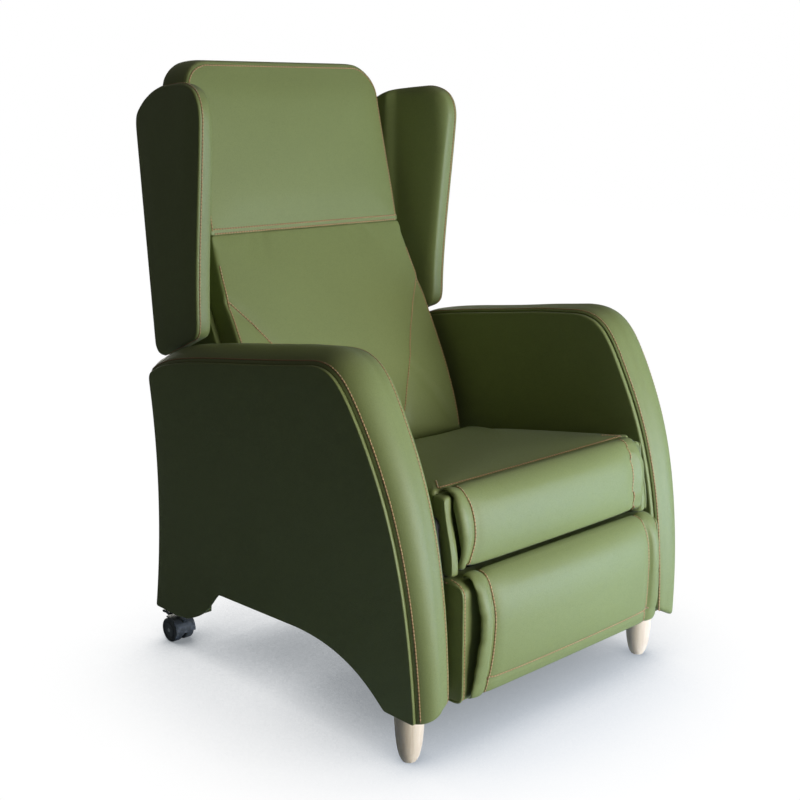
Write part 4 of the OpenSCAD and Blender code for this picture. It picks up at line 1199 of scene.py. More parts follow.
@dataclass
class EaredPad:
    """A front pad whose side edges stand out as flat ears beside a sewn seam.

    The tables stitch and rim give the half widths to the seams and to the ears' edges, by height.
    """

    name: str
    profile: Array
    backing: Array
    stitch: Sequence[tuple[float, float]]
    rim: Sequence[tuple[float, float]]
    crown: float
    gather: float = 0.0
    ear: float = 9.0
    groove: float = 5.0
    groove_wide: float = 7.0
    cross_seams: Sequence[float] = ()
    cross_share: float = 0.45
    cross_wide: float = 5.0
    rows: int = 70
    full_depth: float = 24.0
    ear_groove: float = 5.0
    ear_cross: float = 0.6
    ear_puff: float = 3.2
    sunk: float = 1.6
    stitch_in: float = 2.6
    stitch_up: float = 4.0

    def half(self, table: Sequence[tuple[float, float]], z: Array) -> Array:
        """Half width at a height, from a table of height and half width."""
        heights, halves = zip(*sorted(table))
        spread = [np.interp(np.asarray(z) + o, heights, halves) for o in (-14, -7, 0, 7, 14)]
        return np.average(spread, axis=0, weights=(1, 2, 2, 2, 1))

    def curves(self) -> tuple[Array, Array]:
        """Front and backing curves with as many points as the pad has rows."""
        s, b = arc_lengths(self.profile), arc_lengths(self.backing)
        places = closer_ends((0, 1.0, 2.5, 4.5, 7.0), np.linspace(11, s[-1] - 11, self.rows - 10), s[-1])
        return along(self.profile, s, places), along(self.backing, b, places / s[-1] * b[-1])

    def ear_section(self, sew: float, rim: float, cross: float) -> tuple[Array, Array]:
        """The right ear, from its seam out, round its edge and back to the rear.

        Args:
            sew: half width to the seam.
            rim: half width to the ear's edge.
            cross: depth of a cross seam there.

        Returns:
            Half widths, and depths behind the front curve.
        """
        r = self.ear / 2
        inner = rim - r
        x = sew + (rim - sew) * EAR_OUT
        d = self.groove * np.exp(-(((x - sew) / self.ear_groove) ** 2)) + self.sunk + cross * self.ear_cross - \
            self.ear_puff * bump(EAR_OUT, 0, 1)
        flat = x < inner
        return (np.concatenate([x[flat], inner + r * np.sin(EAR_TURN), [inner - (inner - sew) * 0.5, sew + 2.0]]),
                np.concatenate([d[flat], self.sunk + r - r * np.cos(EAR_TURN) + cross * self.ear_cross,
                                np.full(2, self.sunk + self.ear)]))

    def section(self, front: Array, back: Array, depth: float, end: float) -> Array:
        """One closed loop of the pad.

        Args:
            front: the front curve's point, in Y and Z.
            back: the backing's point.
            depth: distance between them.
            end: distance along the front to its nearer end.

        Returns:
            The front from side to side, the right ear, the rear and the left ear.
        """
        z = front[1]
        sew, rim = (float(self.half(table, z)) for table in (self.stitch, self.rim))
        rim += self.gather * (math.sin(z / 6.1) + 0.6 * math.sin(z / 3.3 + 1.0))
        cross = sum(self.groove * self.cross_share * math.exp(-(((z - seam) / self.cross_wide) ** 2))
                    for seam in self.cross_seams)
        x = -sew + 2 * sew * PAD_ACROSS
        inset = sew - np.abs(x)
        main = self.groove * np.exp(-((inset / self.groove_wide) ** 2)) + 2.0 * np.exp(-inset / 30.0) - \
            self.crown * float(smooth(end, 0, 60)) * bump(x, -sew, sew) ** 0.7 + cross
        ear_x, ear_d = self.ear_section(sew, rim, cross)
        deep = np.concatenate([main, ear_d]) * min(1.0, depth / self.full_depth)
        way = (back - front) / max(depth, TINY)
        point = front + way * np.minimum(deep, depth * 0.92)[:, None] + way * drop(end, min(4.0, depth * 0.45), 5.0)
        rear_x = np.array([sew - 3.0, sew - 6.0, 0.0, -sew + 6.0, -sew + 3.0])
        return np.concatenate([columns(np.concatenate([x, ear_x]), *point.T), columns(rear_x, *back),
                               columns(-ear_x, *point[len(x):].T)[::-1]])

    def build(self) -> Skin:
        """Builds the pad as closed loops from its top seam down to its hem."""
        front, back = self.curves()
        s = arc_lengths(front)
        loops = [self.section(*row) for row in zip(front, back, np.linalg.norm(front - back, axis=1),
                                                   np.minimum(s, s[-1] - s))]
        count = min(len(loop) for loop in loops)
        if any(len(loop) != count for loop in loops):
            loops = [resample(loop, arc_lengths(ringed(loop))[-1] / count, closed=True)[:count] for loop in loops]
        return tube_of_rows(self.name, np.array(loops))

    def sew(self, sewing: Sewing, skin: Skin) -> None:
        """Sews the seams beside the ears and the cross seams."""
        tree = skin.tree()
        front, _ = self.curves()
        for sign in (-1, 1):
            x = sign * (self.half(self.stitch, front[:, 1]) - self.stitch_in)
            sewing.stitch(tree, columns(x, *front.T)[3:-3])
        low = front[len(front) // 2:]
        for seam in self.cross_seams:
            half, z = float(self.half(self.stitch, seam)), seam + self.stitch_up
            sewing.stitch(tree, columns(np.linspace(-half, half, 80), np.interp(-z, -low[:, 1], low[:, 0]), z))


@dataclass
class Seat:
    """The seat cushion with its facing and front pad."""

    half: float = 261.0
    depth: float = 425.0
    thick: float = 81.0
    front_y: float = 334.0
    height: float = 460.0
    facing_y: float = -334.3
    facing: tuple[tuple[float, float], tuple[float, float]] = ((-262, 319), (262, 451))
    facing_thick: float = 18.0
    welt_x: float = 260.6
    welt_radius: float = 2.0
    welt_sunk: float = 1.0
    hem_in: float = 5.5
    slope: float = math.radians(8)

    def point(self, p: Array, h: Array | float) -> Array:
        """Seat coordinates, X, way back and height, into the chair's frame."""
        y = -self.front_y + p[:, 1] * math.cos(self.slope) + h * math.sin(self.slope)
        z = self.height - p[:, 1] * math.sin(self.slope) + h * math.cos(self.slope)
        return columns(p[:, 0], y, z)

    def corner_line(self, start: tuple[float, float], end: tuple[float, float], sign: int, count: int) -> Array:
        """A line over a front corner of the cushion, given on the left."""
        return np.linspace(*self.point(np.array([start, end]) * [sign, 1], 0.0), count)

    def strip_depth(self, z: Array) -> Array:
        """How far the strips beside the pad stand out, more towards their lower end."""
        return 7.0 + 19.0 * (1 - smooth(z, 335, 452))

    def build_cushion(self) -> Skin:
        """Builds the crowned cushion and blows it up."""
        corner = rectangle((-self.half, 1), (self.half, self.depth))

        def front(p: Array, d: Array) -> Array:
            """The crowned top with its rolled edges."""
            dome = 6.0 * bump(p[:, 0], -self.half, self.half) * bump(p[:, 1], 0, self.depth) ** 0.7
            roll = np.where(p[:, 1] < 22, 5.0, 15.0)
            return dome - drop(d, roll, np.maximum(roll, 9.0))

        fill = fill_outline(rounded(corner, radius=7.0, step=6.0), spacing=11.0, rings=RINGS)
        skin = shell("seat_cushion_cover", fill, self.point, front, lambda p, d: drop(d, 6.0) - self.thick,
                     side_rows=8, belly=-2.0)
        swell(skin, pressure=3.5, cap=22.0, share=0.55)
        for sign in (-1, 1):
            skin.press(self.corner_line((246.0, 4.0), (216.0, 40.0), sign, 12), depth=2.2, width=4.0)
        return skin

    def build_facing(self) -> Skin:
        """Builds the padded facing of the seat box."""
        extra = np.array([[x * sign, z] for x in (236, 240, 244, 248, 253) for z in range(326, 446, 8)
                          for sign in (-1, 1)], float)
        outline = rounded(rectangle(*self.facing), radius=12.0, step=5.0)
        fill = fill_outline(outline, spacing=12.0, rings=RINGS[:3], extra=extra)

        def front(p: Array, d: Array) -> Array:
            """The face, with the strips beside the pad standing out."""
            strip = smooth(np.abs(p[:, 0]), 236, 248) * self.strip_depth(p[:, 1])
            return self.facing_thick + strip - drop(d, 5.0, 7.0)

        return shell("seat_facing_cover", fill, lambda p, h: columns(p[:, 0], self.facing_y - h, p[:, 1]),
                     front, level(0.0), side_rows=4)

    def build_apron(self) -> Skin:
        """Builds the black cloth apron that hangs from the front rail behind the leg rest."""
        half, top, low, wave = 259.0, 326.0, 276.0, 0.9
        x, z = np.linspace(-half, half, 40), np.linspace(top, low, 9)
        rows = [[[a, y - wave * math.sin(a / 37.0) * (top - b) / (top - low), b]
                 for y, way in ((-313.6, 1), (-312.9, -1)) for b in z[::way]] for a in x]
        return tube_of_rows("seat_apron", np.array(rows))

    def pad(self) -> EaredPad:
        """The front pad, with the widths that the photograph shows."""
        profile = np.concatenate([bezier([[-337.3, 460], [-367.3, 466], [-397.0, 420], [-382.5, 335]], 60),
                                  bezier([[-382.5, 335], [-379.5, 325.5], [-357.5, 325.5]], 10, 1)])
        backing = np.array([[-337.3, 452], [-352.7, 452], [-352.7, 440], [-352.7, 327]], float)
        return EaredPad("seat_front_pad_cover", profile, backing,
                        [(334, 226), (371, 216), (390, 215), (438, 217), (462, 221)],
                        [(334, 246), (364, 245), (390, 246), (402, 249), (438, 249), (462, 247)], 5.0)

    def build(self, shop: Shop) -> None:
        """Builds, sews and hands over the seat."""
        cushion, facing = self.build_cushion(), self.build_facing()
        pad = self.pad()
        front = pad.build()
        sewing = Sewing("seat_stitching", "seat_cushion")
        tree = cushion.tree()
        sewing.stitch(tree, self.point(columns(np.linspace(-243, 243, 120), self.hem_in), 0.0))
        for sign in (-1, 1):
            sewing.stitch(tree, self.corner_line((244.0, 7.0), (220.0, 36.0), sign, 10))
        pad.sew(sewing, front)
        shop.upholster(cushion, "seat_cushion")
        shop.upholster(facing, "seat_facing")
        shop.upholster(front, "seat_front_pad")
        apron = shop.deliver(self.build_apron().make(shop.made[Slot.FELT]), Slot.FELT, "seat_dust_cover",
                             stands_for=False)
        z = np.linspace(324, 447, 30)
        for sign in (-1, 1):
            y = self.facing_y - (self.facing_thick - self.welt_sunk) - self.strip_depth(z)
            line = columns(sign * self.welt_x, y, z)
            cord = cord_round(f"seat_facing_piping_{Side(sign).word}", line, self.welt_radius)
            shop.upholster(cord, "seat_facing", stands_for=False)
        sewing.finish(shop)


@dataclass
class LegRest:
    """The leg-rest box and its pad."""

    half: float = 267.0
    low: tuple[float, float] = (-405, 106)
    high: tuple[float, float] = (-330, 309)
    corner: float = 24.0
    stitch_x: float = 258.5
    welt_x: float = 262.6
    welt_radius: float = 2.3

    def edge(self) -> Array:
        """Rounded edge of the box in Y and Z."""
        return rounded(rectangle(self.low, self.high), self.corner, step=4.0)

    def build_box(self) -> Skin:
        """Builds the padded box."""
        edge = self.edge()
        edge[:, 1] += 6.0 * bump(edge[:, 0], -398, -334) * smooth(edge[:, 1], 300, 308)

        def end(p: Array, d: Array) -> Array:
            """The domed end."""
            return self.half - 3.0 + 3.5 * smooth(d, 0, 34) - drop(d, 3.0, 5.0)

        return shell("leg_rest_box_cover", fill_outline(edge, spacing=11.0, rings=RINGS[:3]),
                     lambda p, h: columns(h, *p.T), end, lambda p, d: -end(p, d), side_rows=44)

    def pad(self) -> EaredPad:
        """The pad, with the widths that the photograph shows."""
        profile = np.concatenate([bezier([[-384, 325], [-408, 333], [-432, 300], [-432, 236]], 40),
                                  bezier([[-432, 236], [-431, 191], [-427, 148], [-417, 118]], 40, 1),
                                  [[-410.3, 114]]])
        backing = np.array([[-384, 313.6], [-405.6, 310.6], [-405.6, 300], [-405.6, 115]], float)
        return EaredPad("leg_rest_pad_cover", profile, backing,
                        [(114, 222), (145, 219), (200, 215), (255, 213), (290, 215), (321, 212)],
                        [(114, 250), (124, 252), (150, 250), (200, 245), (228, 240), (265, 240), (290, 243),
                         (321, 243)], 7.0, gather=0.7, cross_seams=(141.0,), rows=90)

    def build(self, shop: Shop) -> None:
        """Builds, sews and hands over the leg rest."""
        box = self.build_box()
        pad = self.pad()
        front = pad.build()
        sewing = Sewing("leg_rest_stitching", "leg_rest_pad")
        pad.sew(sewing, front)
        tree, edge = box.tree(), self.edge()
        for sign in (-1, 1):
            sewing.stitch(tree, columns(sign * self.stitch_x, *ringed(edge).T))
            welt = columns(sign * self.welt_x, *edge.T)
            cord = cord_round(f"leg_rest_piping_{Side(sign).word}", welt, self.welt_radius, closed=True)
            shop.upholster(cord, "leg_rest_box", stands_for=False)
        shop.upholster(box, "leg_rest_box")
        shop.upholster(front, "leg_rest_pad")
        sewing.finish(shop)


# Front and rear face of the back's cushions, in Y and Z
BACK_FRONT = np.concatenate([bezier([[99, 368], [106, 500], [217, 655], [289, 823]], 60),
                             bezier([[289, 823], [303, 900], [338, 1020], [362, 1144]], 60, 1), [[364.5, 1160]]])
BACK_CHEEK = np.concatenate([bezier([[172, 368], [179, 500], [275, 650], [348, 823]], 60),
                             bezier([[348, 823], [357, 900], [378, 1000], [390, 1088]], 60, 1)])
CREASES = ((-150, -0.6, 3.0), (-128, -0.2, 4.6), (110, 0.2, 3.6), (140, 0.5, 4.6), (-60, 0.15, 1.2),
           (20, -0.1, 1.0))  # gathers below the head seam: X, lean and depth
# Section of the side cover's lap: X, and height over the frame's edge
LAP = ((250.8, -1.2), (258.0, -1.4), (266.0, -1.2), (266.9, 0.0), (266.0, 1.2), (258.0, 1.2), (250.8, 1.2))
REARWARD = (0, 1, 0)


@dataclass
class Back:
    """The reclining back: lumbar cushion, head cushion, rear cover and side covers."""

    lumbar_half: float = 255.0
    head_half: float = 244.0
    low: float = 368.0
    seam: float = 823.0
    top: float = 1150.0
    boxed: float = 1088.0
    corner: float = 60.0
    rear_y: float = 440.0
    rear_z: float = 1116.0
    stitch_in: float = 3.6
    corner_in: float = 4.5
    seam_rows: Sequence[float] = (2.8, 11.5)
    frame_half: float = 264.2
    side_thick: float = 2.7
    cover_in: float = 13.0
    rake: float = math.tan(math.radians(5.5))
    gusset: Sequence[tuple[float, float]] = ((251, 700), (241, 688), (213, 655), (191, 622), (179, 605), (149, 549),
                                             (118, 494), (98, 452), (80, 415), (65, 380))

    @property
    def gusset_line(self) -> Array:
        """The left gusset seam in X and Z, with even steps."""
        return resample(np.array(self.gusset, float), step=4.0)

    def rear_line(self, z: Array | float) -> Array:
        """Rear face of the back at a height."""
        return self.rear_y - (self.rear_z - np.asarray(z, float)) * self.rake

    def front_line(self, z: Array | float) -> Array:
        """Front face of the cushions at a height."""
        return np.interp(z, BACK_FRONT[:, 1], BACK_FRONT[:, 0])

    def cheek_line(self, z: Array | float) -> Array:
        """Rear face of the cushions at a height."""
        return np.interp(z, BACK_CHEEK[:, 1], BACK_CHEEK[:, 0])

    def place(self, p: Array, h: Array) -> Array:
        """Sets a cushion's outline points at a depth ahead of the front line."""
        return columns(p[:, 0], self.front_line(p[:, 1]) - h, p[:, 1])

    def on_front(self, x: Array, z: Array | float) -> Array:
        """Points on the front line."""
        return columns(x, self.front_line(z), z)

    def build_lumbar(self) -> Skin:
        """Builds the lumbar cushion with its slanting gusset seams."""
        half, low, top = self.lumbar_half, self.low, self.seam
        neck = self.head_half + 1.0
        corner = np.array([[-half, low], [half, low], [half, 700], [neck, top - 8], [neck, top], [-neck, top],
                           [-neck, top - 8], [-half, 700]])
        line = self.gusset_line
        rows = [line + side_normals(line) * o for o in (-6.5, -3.0, -1.2, 0, 1.2, 3.0, 6.5)]
        extra = np.concatenate([r * [sign, 1] for r in rows for sign in (1, -1)])

        def front(p: Array, d: Array) -> Array:
            """The crowned front, tightly rolled under at the seam below the head cushion."""
            dome = 6.0 * bump(p[:, 0], -half, half) ** 0.7 * smooth(p[:, 1], low, low + 60)
            roll = np.where(p[:, 1] > top - 20, 1.6, 6.0)
            return dome - drop(d, roll, roll + 2.5)

        def back(p: Array, d: Array) -> Array:
            """The flat rear."""
            return -(self.cheek_line(p[:, 1]) - self.front_line(p[:, 1])) + drop(d, 4.0)

        fill = fill_outline(rounded(corner, radius=6.0, step=6.0), spacing=11.0, rings=RINGS, extra=extra)
        skin = shell("lumbar_cushion_cover", fill, self.place, front, back, side_rows=6)
        swell(skin, pressure=3.5, cap=24.0, share=0.45)
        for sign in (-1, 1):
            on = self.on_front(line[:, 0] * sign, line[:, 1])
            skin.press(on, depth=4.5, width=11.0, towards=REARWARD)
            skin.press(on, depth=1.8, width=1.9, towards=REARWARD)
        z = np.linspace(820, 780, 8)
        for x, lean, deep in CREASES:
            skin.press(self.on_front(x + (820 - z) * lean, z), depth=deep, width=11.0, towards=REARWARD)
        return skin

    def build_head(self) -> Skin:
        """Builds the head cushion with its boxed top."""
        half, low, r = self.head_half, self.seam, self.corner
        arc = [[half - r + r * math.cos(a), self.top - r + r * math.sin(a)] for a in np.linspace(0, math.pi / 2, 12)]
        corner = np.array([[-half, low]] + [[half, low]] + arc + [[-x, z] for x, z in arc[::-1]])

        def front(p: Array, d: Array) -> Array:
            """The crowned front."""
            dome = 7.0 * bump(p[:, 0], -half, half) ** 0.6 * smooth(d, 0, 80)
            over = 8.0 * smooth(p[:, 1], 1070, 1152) ** 1.5
            roll = np.where(p[:, 1] < low + 14, 1.6, 6.0)
            return dome - over - drop(d, roll, roll + 3.0)

        def back(p: Array, d: Array) -> Array:
            """The rear, rounded over the top."""
            z = p[:, 1]
            cheek = self.cheek_line(np.minimum(z, self.boxed))
            flat = np.where(z < self.boxed, cheek, np.minimum(self.rear_y, self.rear_line(z)) + 5.0)
            step = smooth(z, self.boxed - 2, self.boxed + 5)
            return -(cheek * (1 - step) + flat * step - self.front_line(z)) + \
                np.where(z > self.boxed, drop(d, 7.0, 9.0), drop(d, 4.0))

        fill = fill_outline(rounded(corner, radius=3.0, step=6.0), spacing=11.0, rings=RINGS)
        skin = shell("head_cushion_cover", fill, self.place, front, back, side_rows=8, belly=2.0)
        swell(skin, pressure=3.0, cap=22.0, share=0.4)
        return skin

    def build_rear(self) -> Skin:
        """Builds the rear cover."""
        outline = rounded(rectangle((-266, 326), (266, 1088)), radius=8.0, step=7.0)
        return shell("rear_cover_panel", fill_outline(outline, spacing=16.0, rings=RINGS[:4]),
                     lambda p, h: columns(p[:, 0], self.rear_line(p[:, 1]) + h, p[:, 1]),
                     lambda p, d: 1.5 * smooth(d, 6, 60) - drop(d, 5.0, 7.0), level(-11.5), side_rows=3)

    def build_side(self, side: Side) -> Skin:
        """Builds the thin cover over the edge of the back frame."""
        foot = [[207 + 35 * math.cos(a), 360 + 35 * math.sin(a)] for a in np.radians([300, 270, 240, 210, 180, 150])]
        z = np.linspace(372, 1088, 40)
        corner = np.concatenate([columns(self.cheek_line(z) - 1.0, z),
                                 columns(self.rear_line(z) - self.cover_in, z)[::-1],
                                 [[self.rear_line(340.0) - self.cover_in, 330]], foot])
        fill = fill_outline(rounded(corner, radius=3.0, step=6.0), spacing=20.0, rings=(1.0, 4.0))
        return shell(f"back_side_cover_skin_{side.word}", fill,
                     lambda p, h: columns(side.value * (self.frame_half + h), *p.T),
                     lambda p, d: self.side_thick - drop(d, 1.2, 2.0), level(0.0), side_rows=2)

    def build_lap(self, side: Side) -> Skin:
        """Builds the strip of the side cover that laps over the front and top edge of the frame."""
        z = np.linspace(372, 1086, 60)
        path = np.concatenate([columns(self.cheek_line(z) - 1.5, z), [[self.cheek_line(1086.0) + 1.0, 1089.6],
                                                                      [self.rear_line(1090.0) - 16.0, 1089.6]]])
        rows = [[[side.value * x, y + ny * o, h + nz * o] for x, o in LAP]
                for (y, h), (ny, nz) in zip(path, side_normals(path))]
        return tube_of_rows(f"back_side_cover_lap_{side.word}", np.array(rows))

    def build(self, shop: Shop) -> None:
        """Builds, sews and hands over the back."""
        lumbar, head, rear = self.build_lumbar(), self.build_head(), self.build_rear()
        sewing = Sewing("back_stitching", "head_cushion")
        tree = lumbar.tree()
        row = self.gusset_line + side_normals(self.gusset_line) * self.stitch_in
        z = np.linspace(768, 400, 60)
        for sign in (-1, 1):
            sewing.stitch(tree, self.on_front(row[:, 0] * sign, row[:, 1]))
            sewing.stitch(tree, self.on_front(sign * np.interp(z, [700, 815], [250.0, 241.0]), z))
        tree = head.tree()
        for up in self.seam_rows:
            sewing.stitch(tree, self.on_front(np.linspace(-236, 236, 100), self.seam + up))
        arc, r = np.radians(np.linspace(0, 90, 14))[1:], self.corner - self.corner_in
        x, z = self.head_half - self.corner, self.top - self.corner
        path = np.concatenate([columns(x + r, np.linspace(self.seam + 9, z, 50)),
                               columns(x + r * np.cos(arc), z + r * np.sin(arc))])
        sewing.stitch(tree, self.on_front(*resample(np.concatenate([path, (path * [-1, 1])[::-1]]), step=4.0).T))
        x, z = ringed(rounded(rectangle((-256, 337), (256, 1078)), radius=8.0, step=5.0)).T
        sewing.stitch(rear.tree(), columns(x, self.rear_line(z), z))
        shop.upholster(lumbar, "lumbar_cushion")
        shop.upholster(head, "head_cushion")
        shop.upholster(rear, "rear_cover")
        for side in Side:
            shop.upholster(self.build_side(side), f"back_side_cover_{side.word}")
            shop.upholster(self.build_lap(side), f"back_side_cover_{side.word}", stands_for=False)
        sewing.finish(shop)


@dataclass
class Wing:
    """One padded wing beside the head."""

    side: Side
    back: Back
    inner_x: float = 266.85
    splay: float = math.tan(math.radians(5.7))
    thick_rear: float = 43.0
    thick_front: float = 37.0
    splay_y: float = 350.0
    hollow: float = 0.6
    depth: float = 235.0
    stitch_in: float = 7.5

    def outline(self) -> Array:
        """The wing's edge in Y and Z, up the front, over the top and down the rear."""
        front = np.concatenate([[[240, 640], [231, 650]],
                                bezier([[228, 668], [228, 780], [202, 930], [193, 1050]], 70),
                                [[199, 1075], [214, 1094], [236, 1102], [256, 1106]]])
        z = np.array([588, 592, 605, 700, 800, 900, 985, 1030, 1052, 1076, 1092, 1101], float)
        inset = np.array([26, 9, 0, 0, 0, 0, 0, 0, 6, 40, 75, 108], float)
        rear = columns(self.back.rear_line(z) + 4 - inset, z)[::-1]
        loop = resample(np.concatenate([front, rear]), step=5.0, closed=True)
        soft = rounded(loop, radius=16.0, step=5.0)
        crisp = rounded(loop, radius=6.0, step=5.0)
        share = smooth(soft[:, 1], 960, 1010)[:, None]
        near = crisp[[int(np.argmin(np.linalg.norm(crisp - p, axis=1))) for p in soft]]
        return resample(near * (1 - share) + soft * share, step=5.0, closed=True)

    def faces_x(self, y: Array) -> tuple[Array, Array]:
        """Inner and outer face at a depth."""
        ahead = self.back.rear_y - y
        inner = self.inner_x + np.where(y >= self.splay_y, 0.0,
                                        np.minimum(ahead * self.splay, (self.splay_y - y) * self.hollow))
        outer = self.inner_x + ahead * self.splay + self.thick_rear + \
            (self.thick_front - self.thick_rear) * np.clip(ahead / self.depth, 0, 1)
        return inner, outer

    def build(self, shop: Shop) -> None:
        """Builds, sews and hands over the wing."""
        edge, word = self.outline(), self.side.word

        def place(p: Array, h: Array) -> Array:
            """Sets a point between the inner face, 0, and the outer face, 1."""
            inner, outer = self.faces_x(p[:, 0])
            return columns(self.side.value * (inner + (outer - inner) * h), *p.T)

        def deep(p: Array) -> Array:
            """Thickness at each point."""
            inner, outer = self.faces_x(p[:, 0])
            return outer - inner

        def outside(p: Array, d: Array) -> Array:
            """The outer face, tightly rolled."""
            puff = 2.5 * smooth(d, 0, 60)
            return 1 + (puff - drop(d, 4.0, 5.5)) / deep(p)

        def within(p: Array, d: Array) -> Array:
            """The inner face, softly rolled towards the front and the top."""
            ahead = 1 - smooth(p[:, 0], 300, 390)
            high = smooth(p[:, 1], 960, 1060)
            roll = 5.0 + (5.0 + 8.0 * high) * ahead
            return (drop(d, roll, 6.0 + 26.0 * ahead) - 1.5 * smooth(d, 20, 70) * ahead) / deep(p)

        fill = fill_outline(edge, spacing=11.0, rings=(1.0, 2.2, 4.0, 7.0, 11.0, 16.0, 22.0))
        skin = shell(f"wing_cover_{word}", fill, place, outside, within, side_rows=3, belly=0.6)
        sewing = Sewing(f"wing_stitching_{word}", f"wing_pad_{word}")
        row = edge + outward_normals(edge)
        row = np.roll(row, -int(np.argmin(row[:, 1])), 0)
        line = columns(self.side.value * (self.faces_x(row[:, 0])[1] - self.stitch_in), *row.T)
        sewing.stitch(skin.tree(), ringed(line))
        shop.upholster(skin, f"wing_pad_{word}")
        sewing.finish(shop)


@dataclass
class Running:
    """Feet, castors, frame and mechanism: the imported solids, with their own finishes."""

    def build(self, shop: Shop) -> None:
        """Gives each CAD node the material of its slot, except the wing cores and side frames, which get the
        upholstery, and the push rods, which get black steel.
        """
        slots = {part["node"]: Slot(part["material_slot"]) for part in frame["record"]["subparts"]}
        for name, obj in frame["nodes"].items():
            slot = slots.get(name, Slot.FRAME_TIMBER)
            if name.startswith(("wing_core", "side_frame")):
                slot = Slot.UPHOLSTERY
            elif name.startswith("push_rod"):
                slot = Slot.BLACK_STEEL
            obj.data.materials.clear()
            obj.data.materials.append(shop.made[slot])
            log.info("%s keeps its solid in %s", name, slot.value)


LAMPS = (  # name, direction from the chair, distance and edge in metres, power in watts, colour
    ("window_lamp", (0.19, -0.98, 0.07), 2.9, 1.6, 79.0, (0.99, 1.0, 0.92)),
    ("floor_glow_lamp", (0.58, -1.0, -0.34), 1.75, 1.3, 23.0, (0.60, 0.88, 1.60)),
    ("sky_lamp", (0.25, -0.05, 1.0), 3.2, 2.6, 9.0, (1.0, 0.98, 0.84)),
    ("back_fill_lamp", (0.42, 0.98, 0.10), 2.9, 1.6, 30.0, (1.0, 0.99, 0.90)),
)


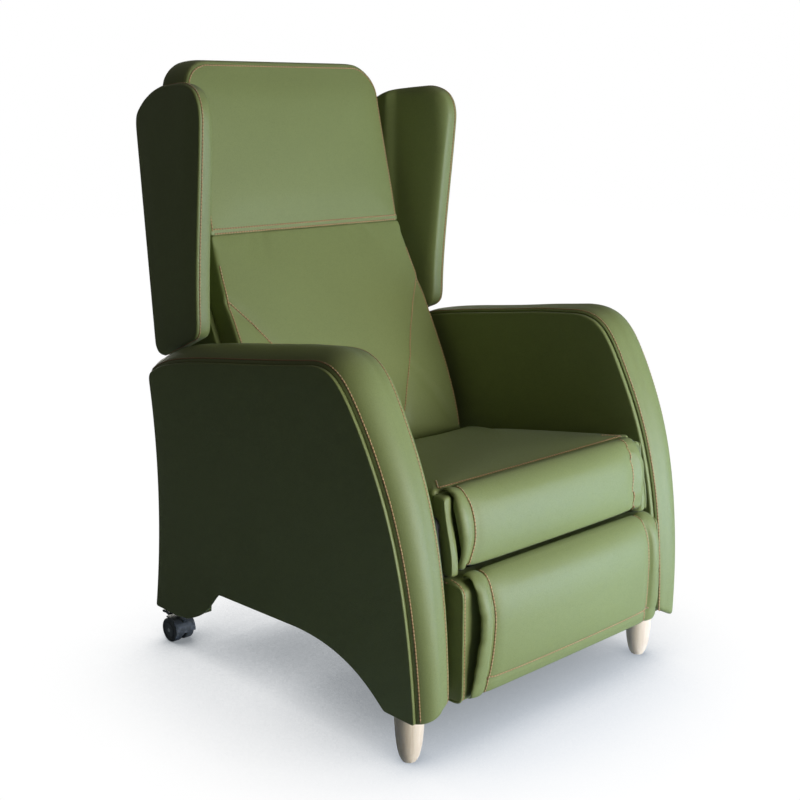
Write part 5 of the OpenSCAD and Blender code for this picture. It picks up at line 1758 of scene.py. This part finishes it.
@dataclass
class Studio:
    """Camera, floor, lamps and a white surround."""

    eye: tuple[float, float, float] = (-1.6716, -1.753, 1.0732)
    behind: tuple[float, float, float] = (-0.6677, -0.7092, 0.2260)
    right: tuple[float, float, float] = (0.7280, -0.6855, 0.0)
    lens: float = 57.897
    sensor: float = 36.0
    near: float = 0.05
    far: float = 60.0
    floor_half: float = 9.0
    aim: tuple[float, float, float] = (0.0, -0.05, 0.55)

    def camera(self) -> None:
        """Sets up the camera where the photograph was taken."""
        data = bpy.data.cameras.new("camera")
        data.lens, data.sensor_width, data.clip_start, data.clip_end = self.lens, self.sensor, self.near, self.far
        obj = link("camera", data)
        back, right = Vector(self.behind).normalized(), Vector(self.right).normalized()
        up = back.cross(right)
        turn = Matrix((right, up, back)).transposed().to_4x4()
        obj.matrix_world = Matrix.Translation(Vector(self.eye)) @ turn
        bpy.context.scene.camera = obj

    def floor(self) -> None:
        """Lays the floor: white to the camera, with a painted shadow of the object: its glow is darker where ambient
        occlusion finds the chair near, and darker towards the rear.
        """
        mesh = bpy.data.meshes.new("studio_floor")
        half = self.floor_half
        mesh.from_pydata([(*corner, 0) for corner in rectangle((-half, -half), (half, half))], [], [(0, 1, 2, 3)])
        obj = link("studio_floor", mesh)
        g, _ = start_material("studio_floor", Base_Color=(0.80, 0.82, 0.86, 1.0), Roughness=0.9,
                                   Specular_IOR_Level=0.0)
        # Painted shadow: ambient occlusion dims the floor's bluish grey glow near the chair, and more so towards the
        # rear.
        near = g.node("AmbientOcclusion", {"samples": 12}, Distance=0.42).outputs["AO"]
        unhidden = g.span(near, 0.30, 0.92)
        place = g.node("SeparateXYZ", i0=g.node("NewGeometry").outputs["Position"])
        behind = g.span(place.outputs["Y"], -0.62, -0.12)
        shade = g.mix(behind, (0.76, 0.86, 1.0, 1.0), (0.84, 0.90, 0.96, 1.0))
        deepest = g.math("MULTIPLY_ADD", behind, -0.50, 0.76)
        bright = g.math("MULTIPLY_ADD", deepest, g.math("SUBTRACT", 1.02, unhidden), unhidden)
        glow = g.node("Emission", Color=g.mix(unhidden, shade, WHITE), Strength=bright)
        dull = g.node("BsdfDiffuse", Color=(0.52, 0.60, 0.70, 1.0))
        seen = g.node("LightPath").outputs["Is Camera Ray"]
        choose = g.node("MixShader", i0=seen, i1=dull.outputs[0], i2=glow.outputs[0])
        g.feed(g.tree.nodes["Material Output"], Surface=choose.outputs[0])
        mesh.materials.append(bpy.data.materials["studio_floor"])

    def surround(self) -> None:
        """Sets the surround: white to the camera, dim and soft to the object."""
        world = bpy.data.worlds.new("surround")
        bpy.context.scene.world = world
        world.use_nodes = True
        g = Graph(world.node_tree)
        plain = world.node_tree.nodes["Background"]
        g.feed(plain, Color=(1.0, 0.96, 0.80, 1.0), Strength=0.034)
        white = g.node("Background", Color=WHITE, Strength=1.0)
        ray = g.node("LightPath").outputs
        sheen = g.math("MULTIPLY", g.math("MAXIMUM", ray["Is Glossy Ray"], ray["Is Transmission Ray"]), 0.12)
        share = g.math("MAXIMUM", ray["Is Camera Ray"], sheen)
        choose = g.node("MixShader", i0=share, i1=plain.outputs[0], i2=white.outputs[0])
        g.feed(world.node_tree.nodes["World Output"], Surface=choose.outputs[0])

    def lamp(self, name: str, way: Sequence[float], far: float, size: float, power: float,
             colour: Sequence[float]) -> None:
        """Adds a large area lamp that looks at the chair.

        Args:
            name: its name.
            way: the direction it stands in, from the chair.
            far: its distance in metres.
            size: its edge in metres.
            power: its power in watts.
            colour: its colour.
        """
        data = bpy.data.lights.new(name, "AREA")
        data.shape, data.size, data.energy, data.color = "SQUARE", size, power, colour
        obj = link(name, data)
        out = Vector(way).normalized()
        obj.location = Vector(self.aim) + out * far
        obj.rotation_euler = out.to_track_quat("Z", "Y").to_euler()
        obj.visible_camera = False

    def build(self) -> None:
        """Builds the studio."""
        bpy.context.scene.view_settings.view_transform = "Standard"
        self.camera()
        self.floor()
        self.surround()
        for lamp in LAMPS:
            self.lamp(*lamp)
        log.info("studio built")


def main() -> None:
    """Builds the studio and every sub-assembly."""
    logging.basicConfig(level=logging.INFO, format="%(name)s: %(message)s")
    Studio().build()
    shop = Shop()
    for side in Side:
        Arm(side).build(shop)
    Seat().build(shop)
    LegRest().build(shop)
    back = Back()
    back.build(shop)
    for side in Side:
        Wing(side, back).build(shop)
    Running().build(shop)
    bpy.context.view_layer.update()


if __name__ == "__main__":
    main()
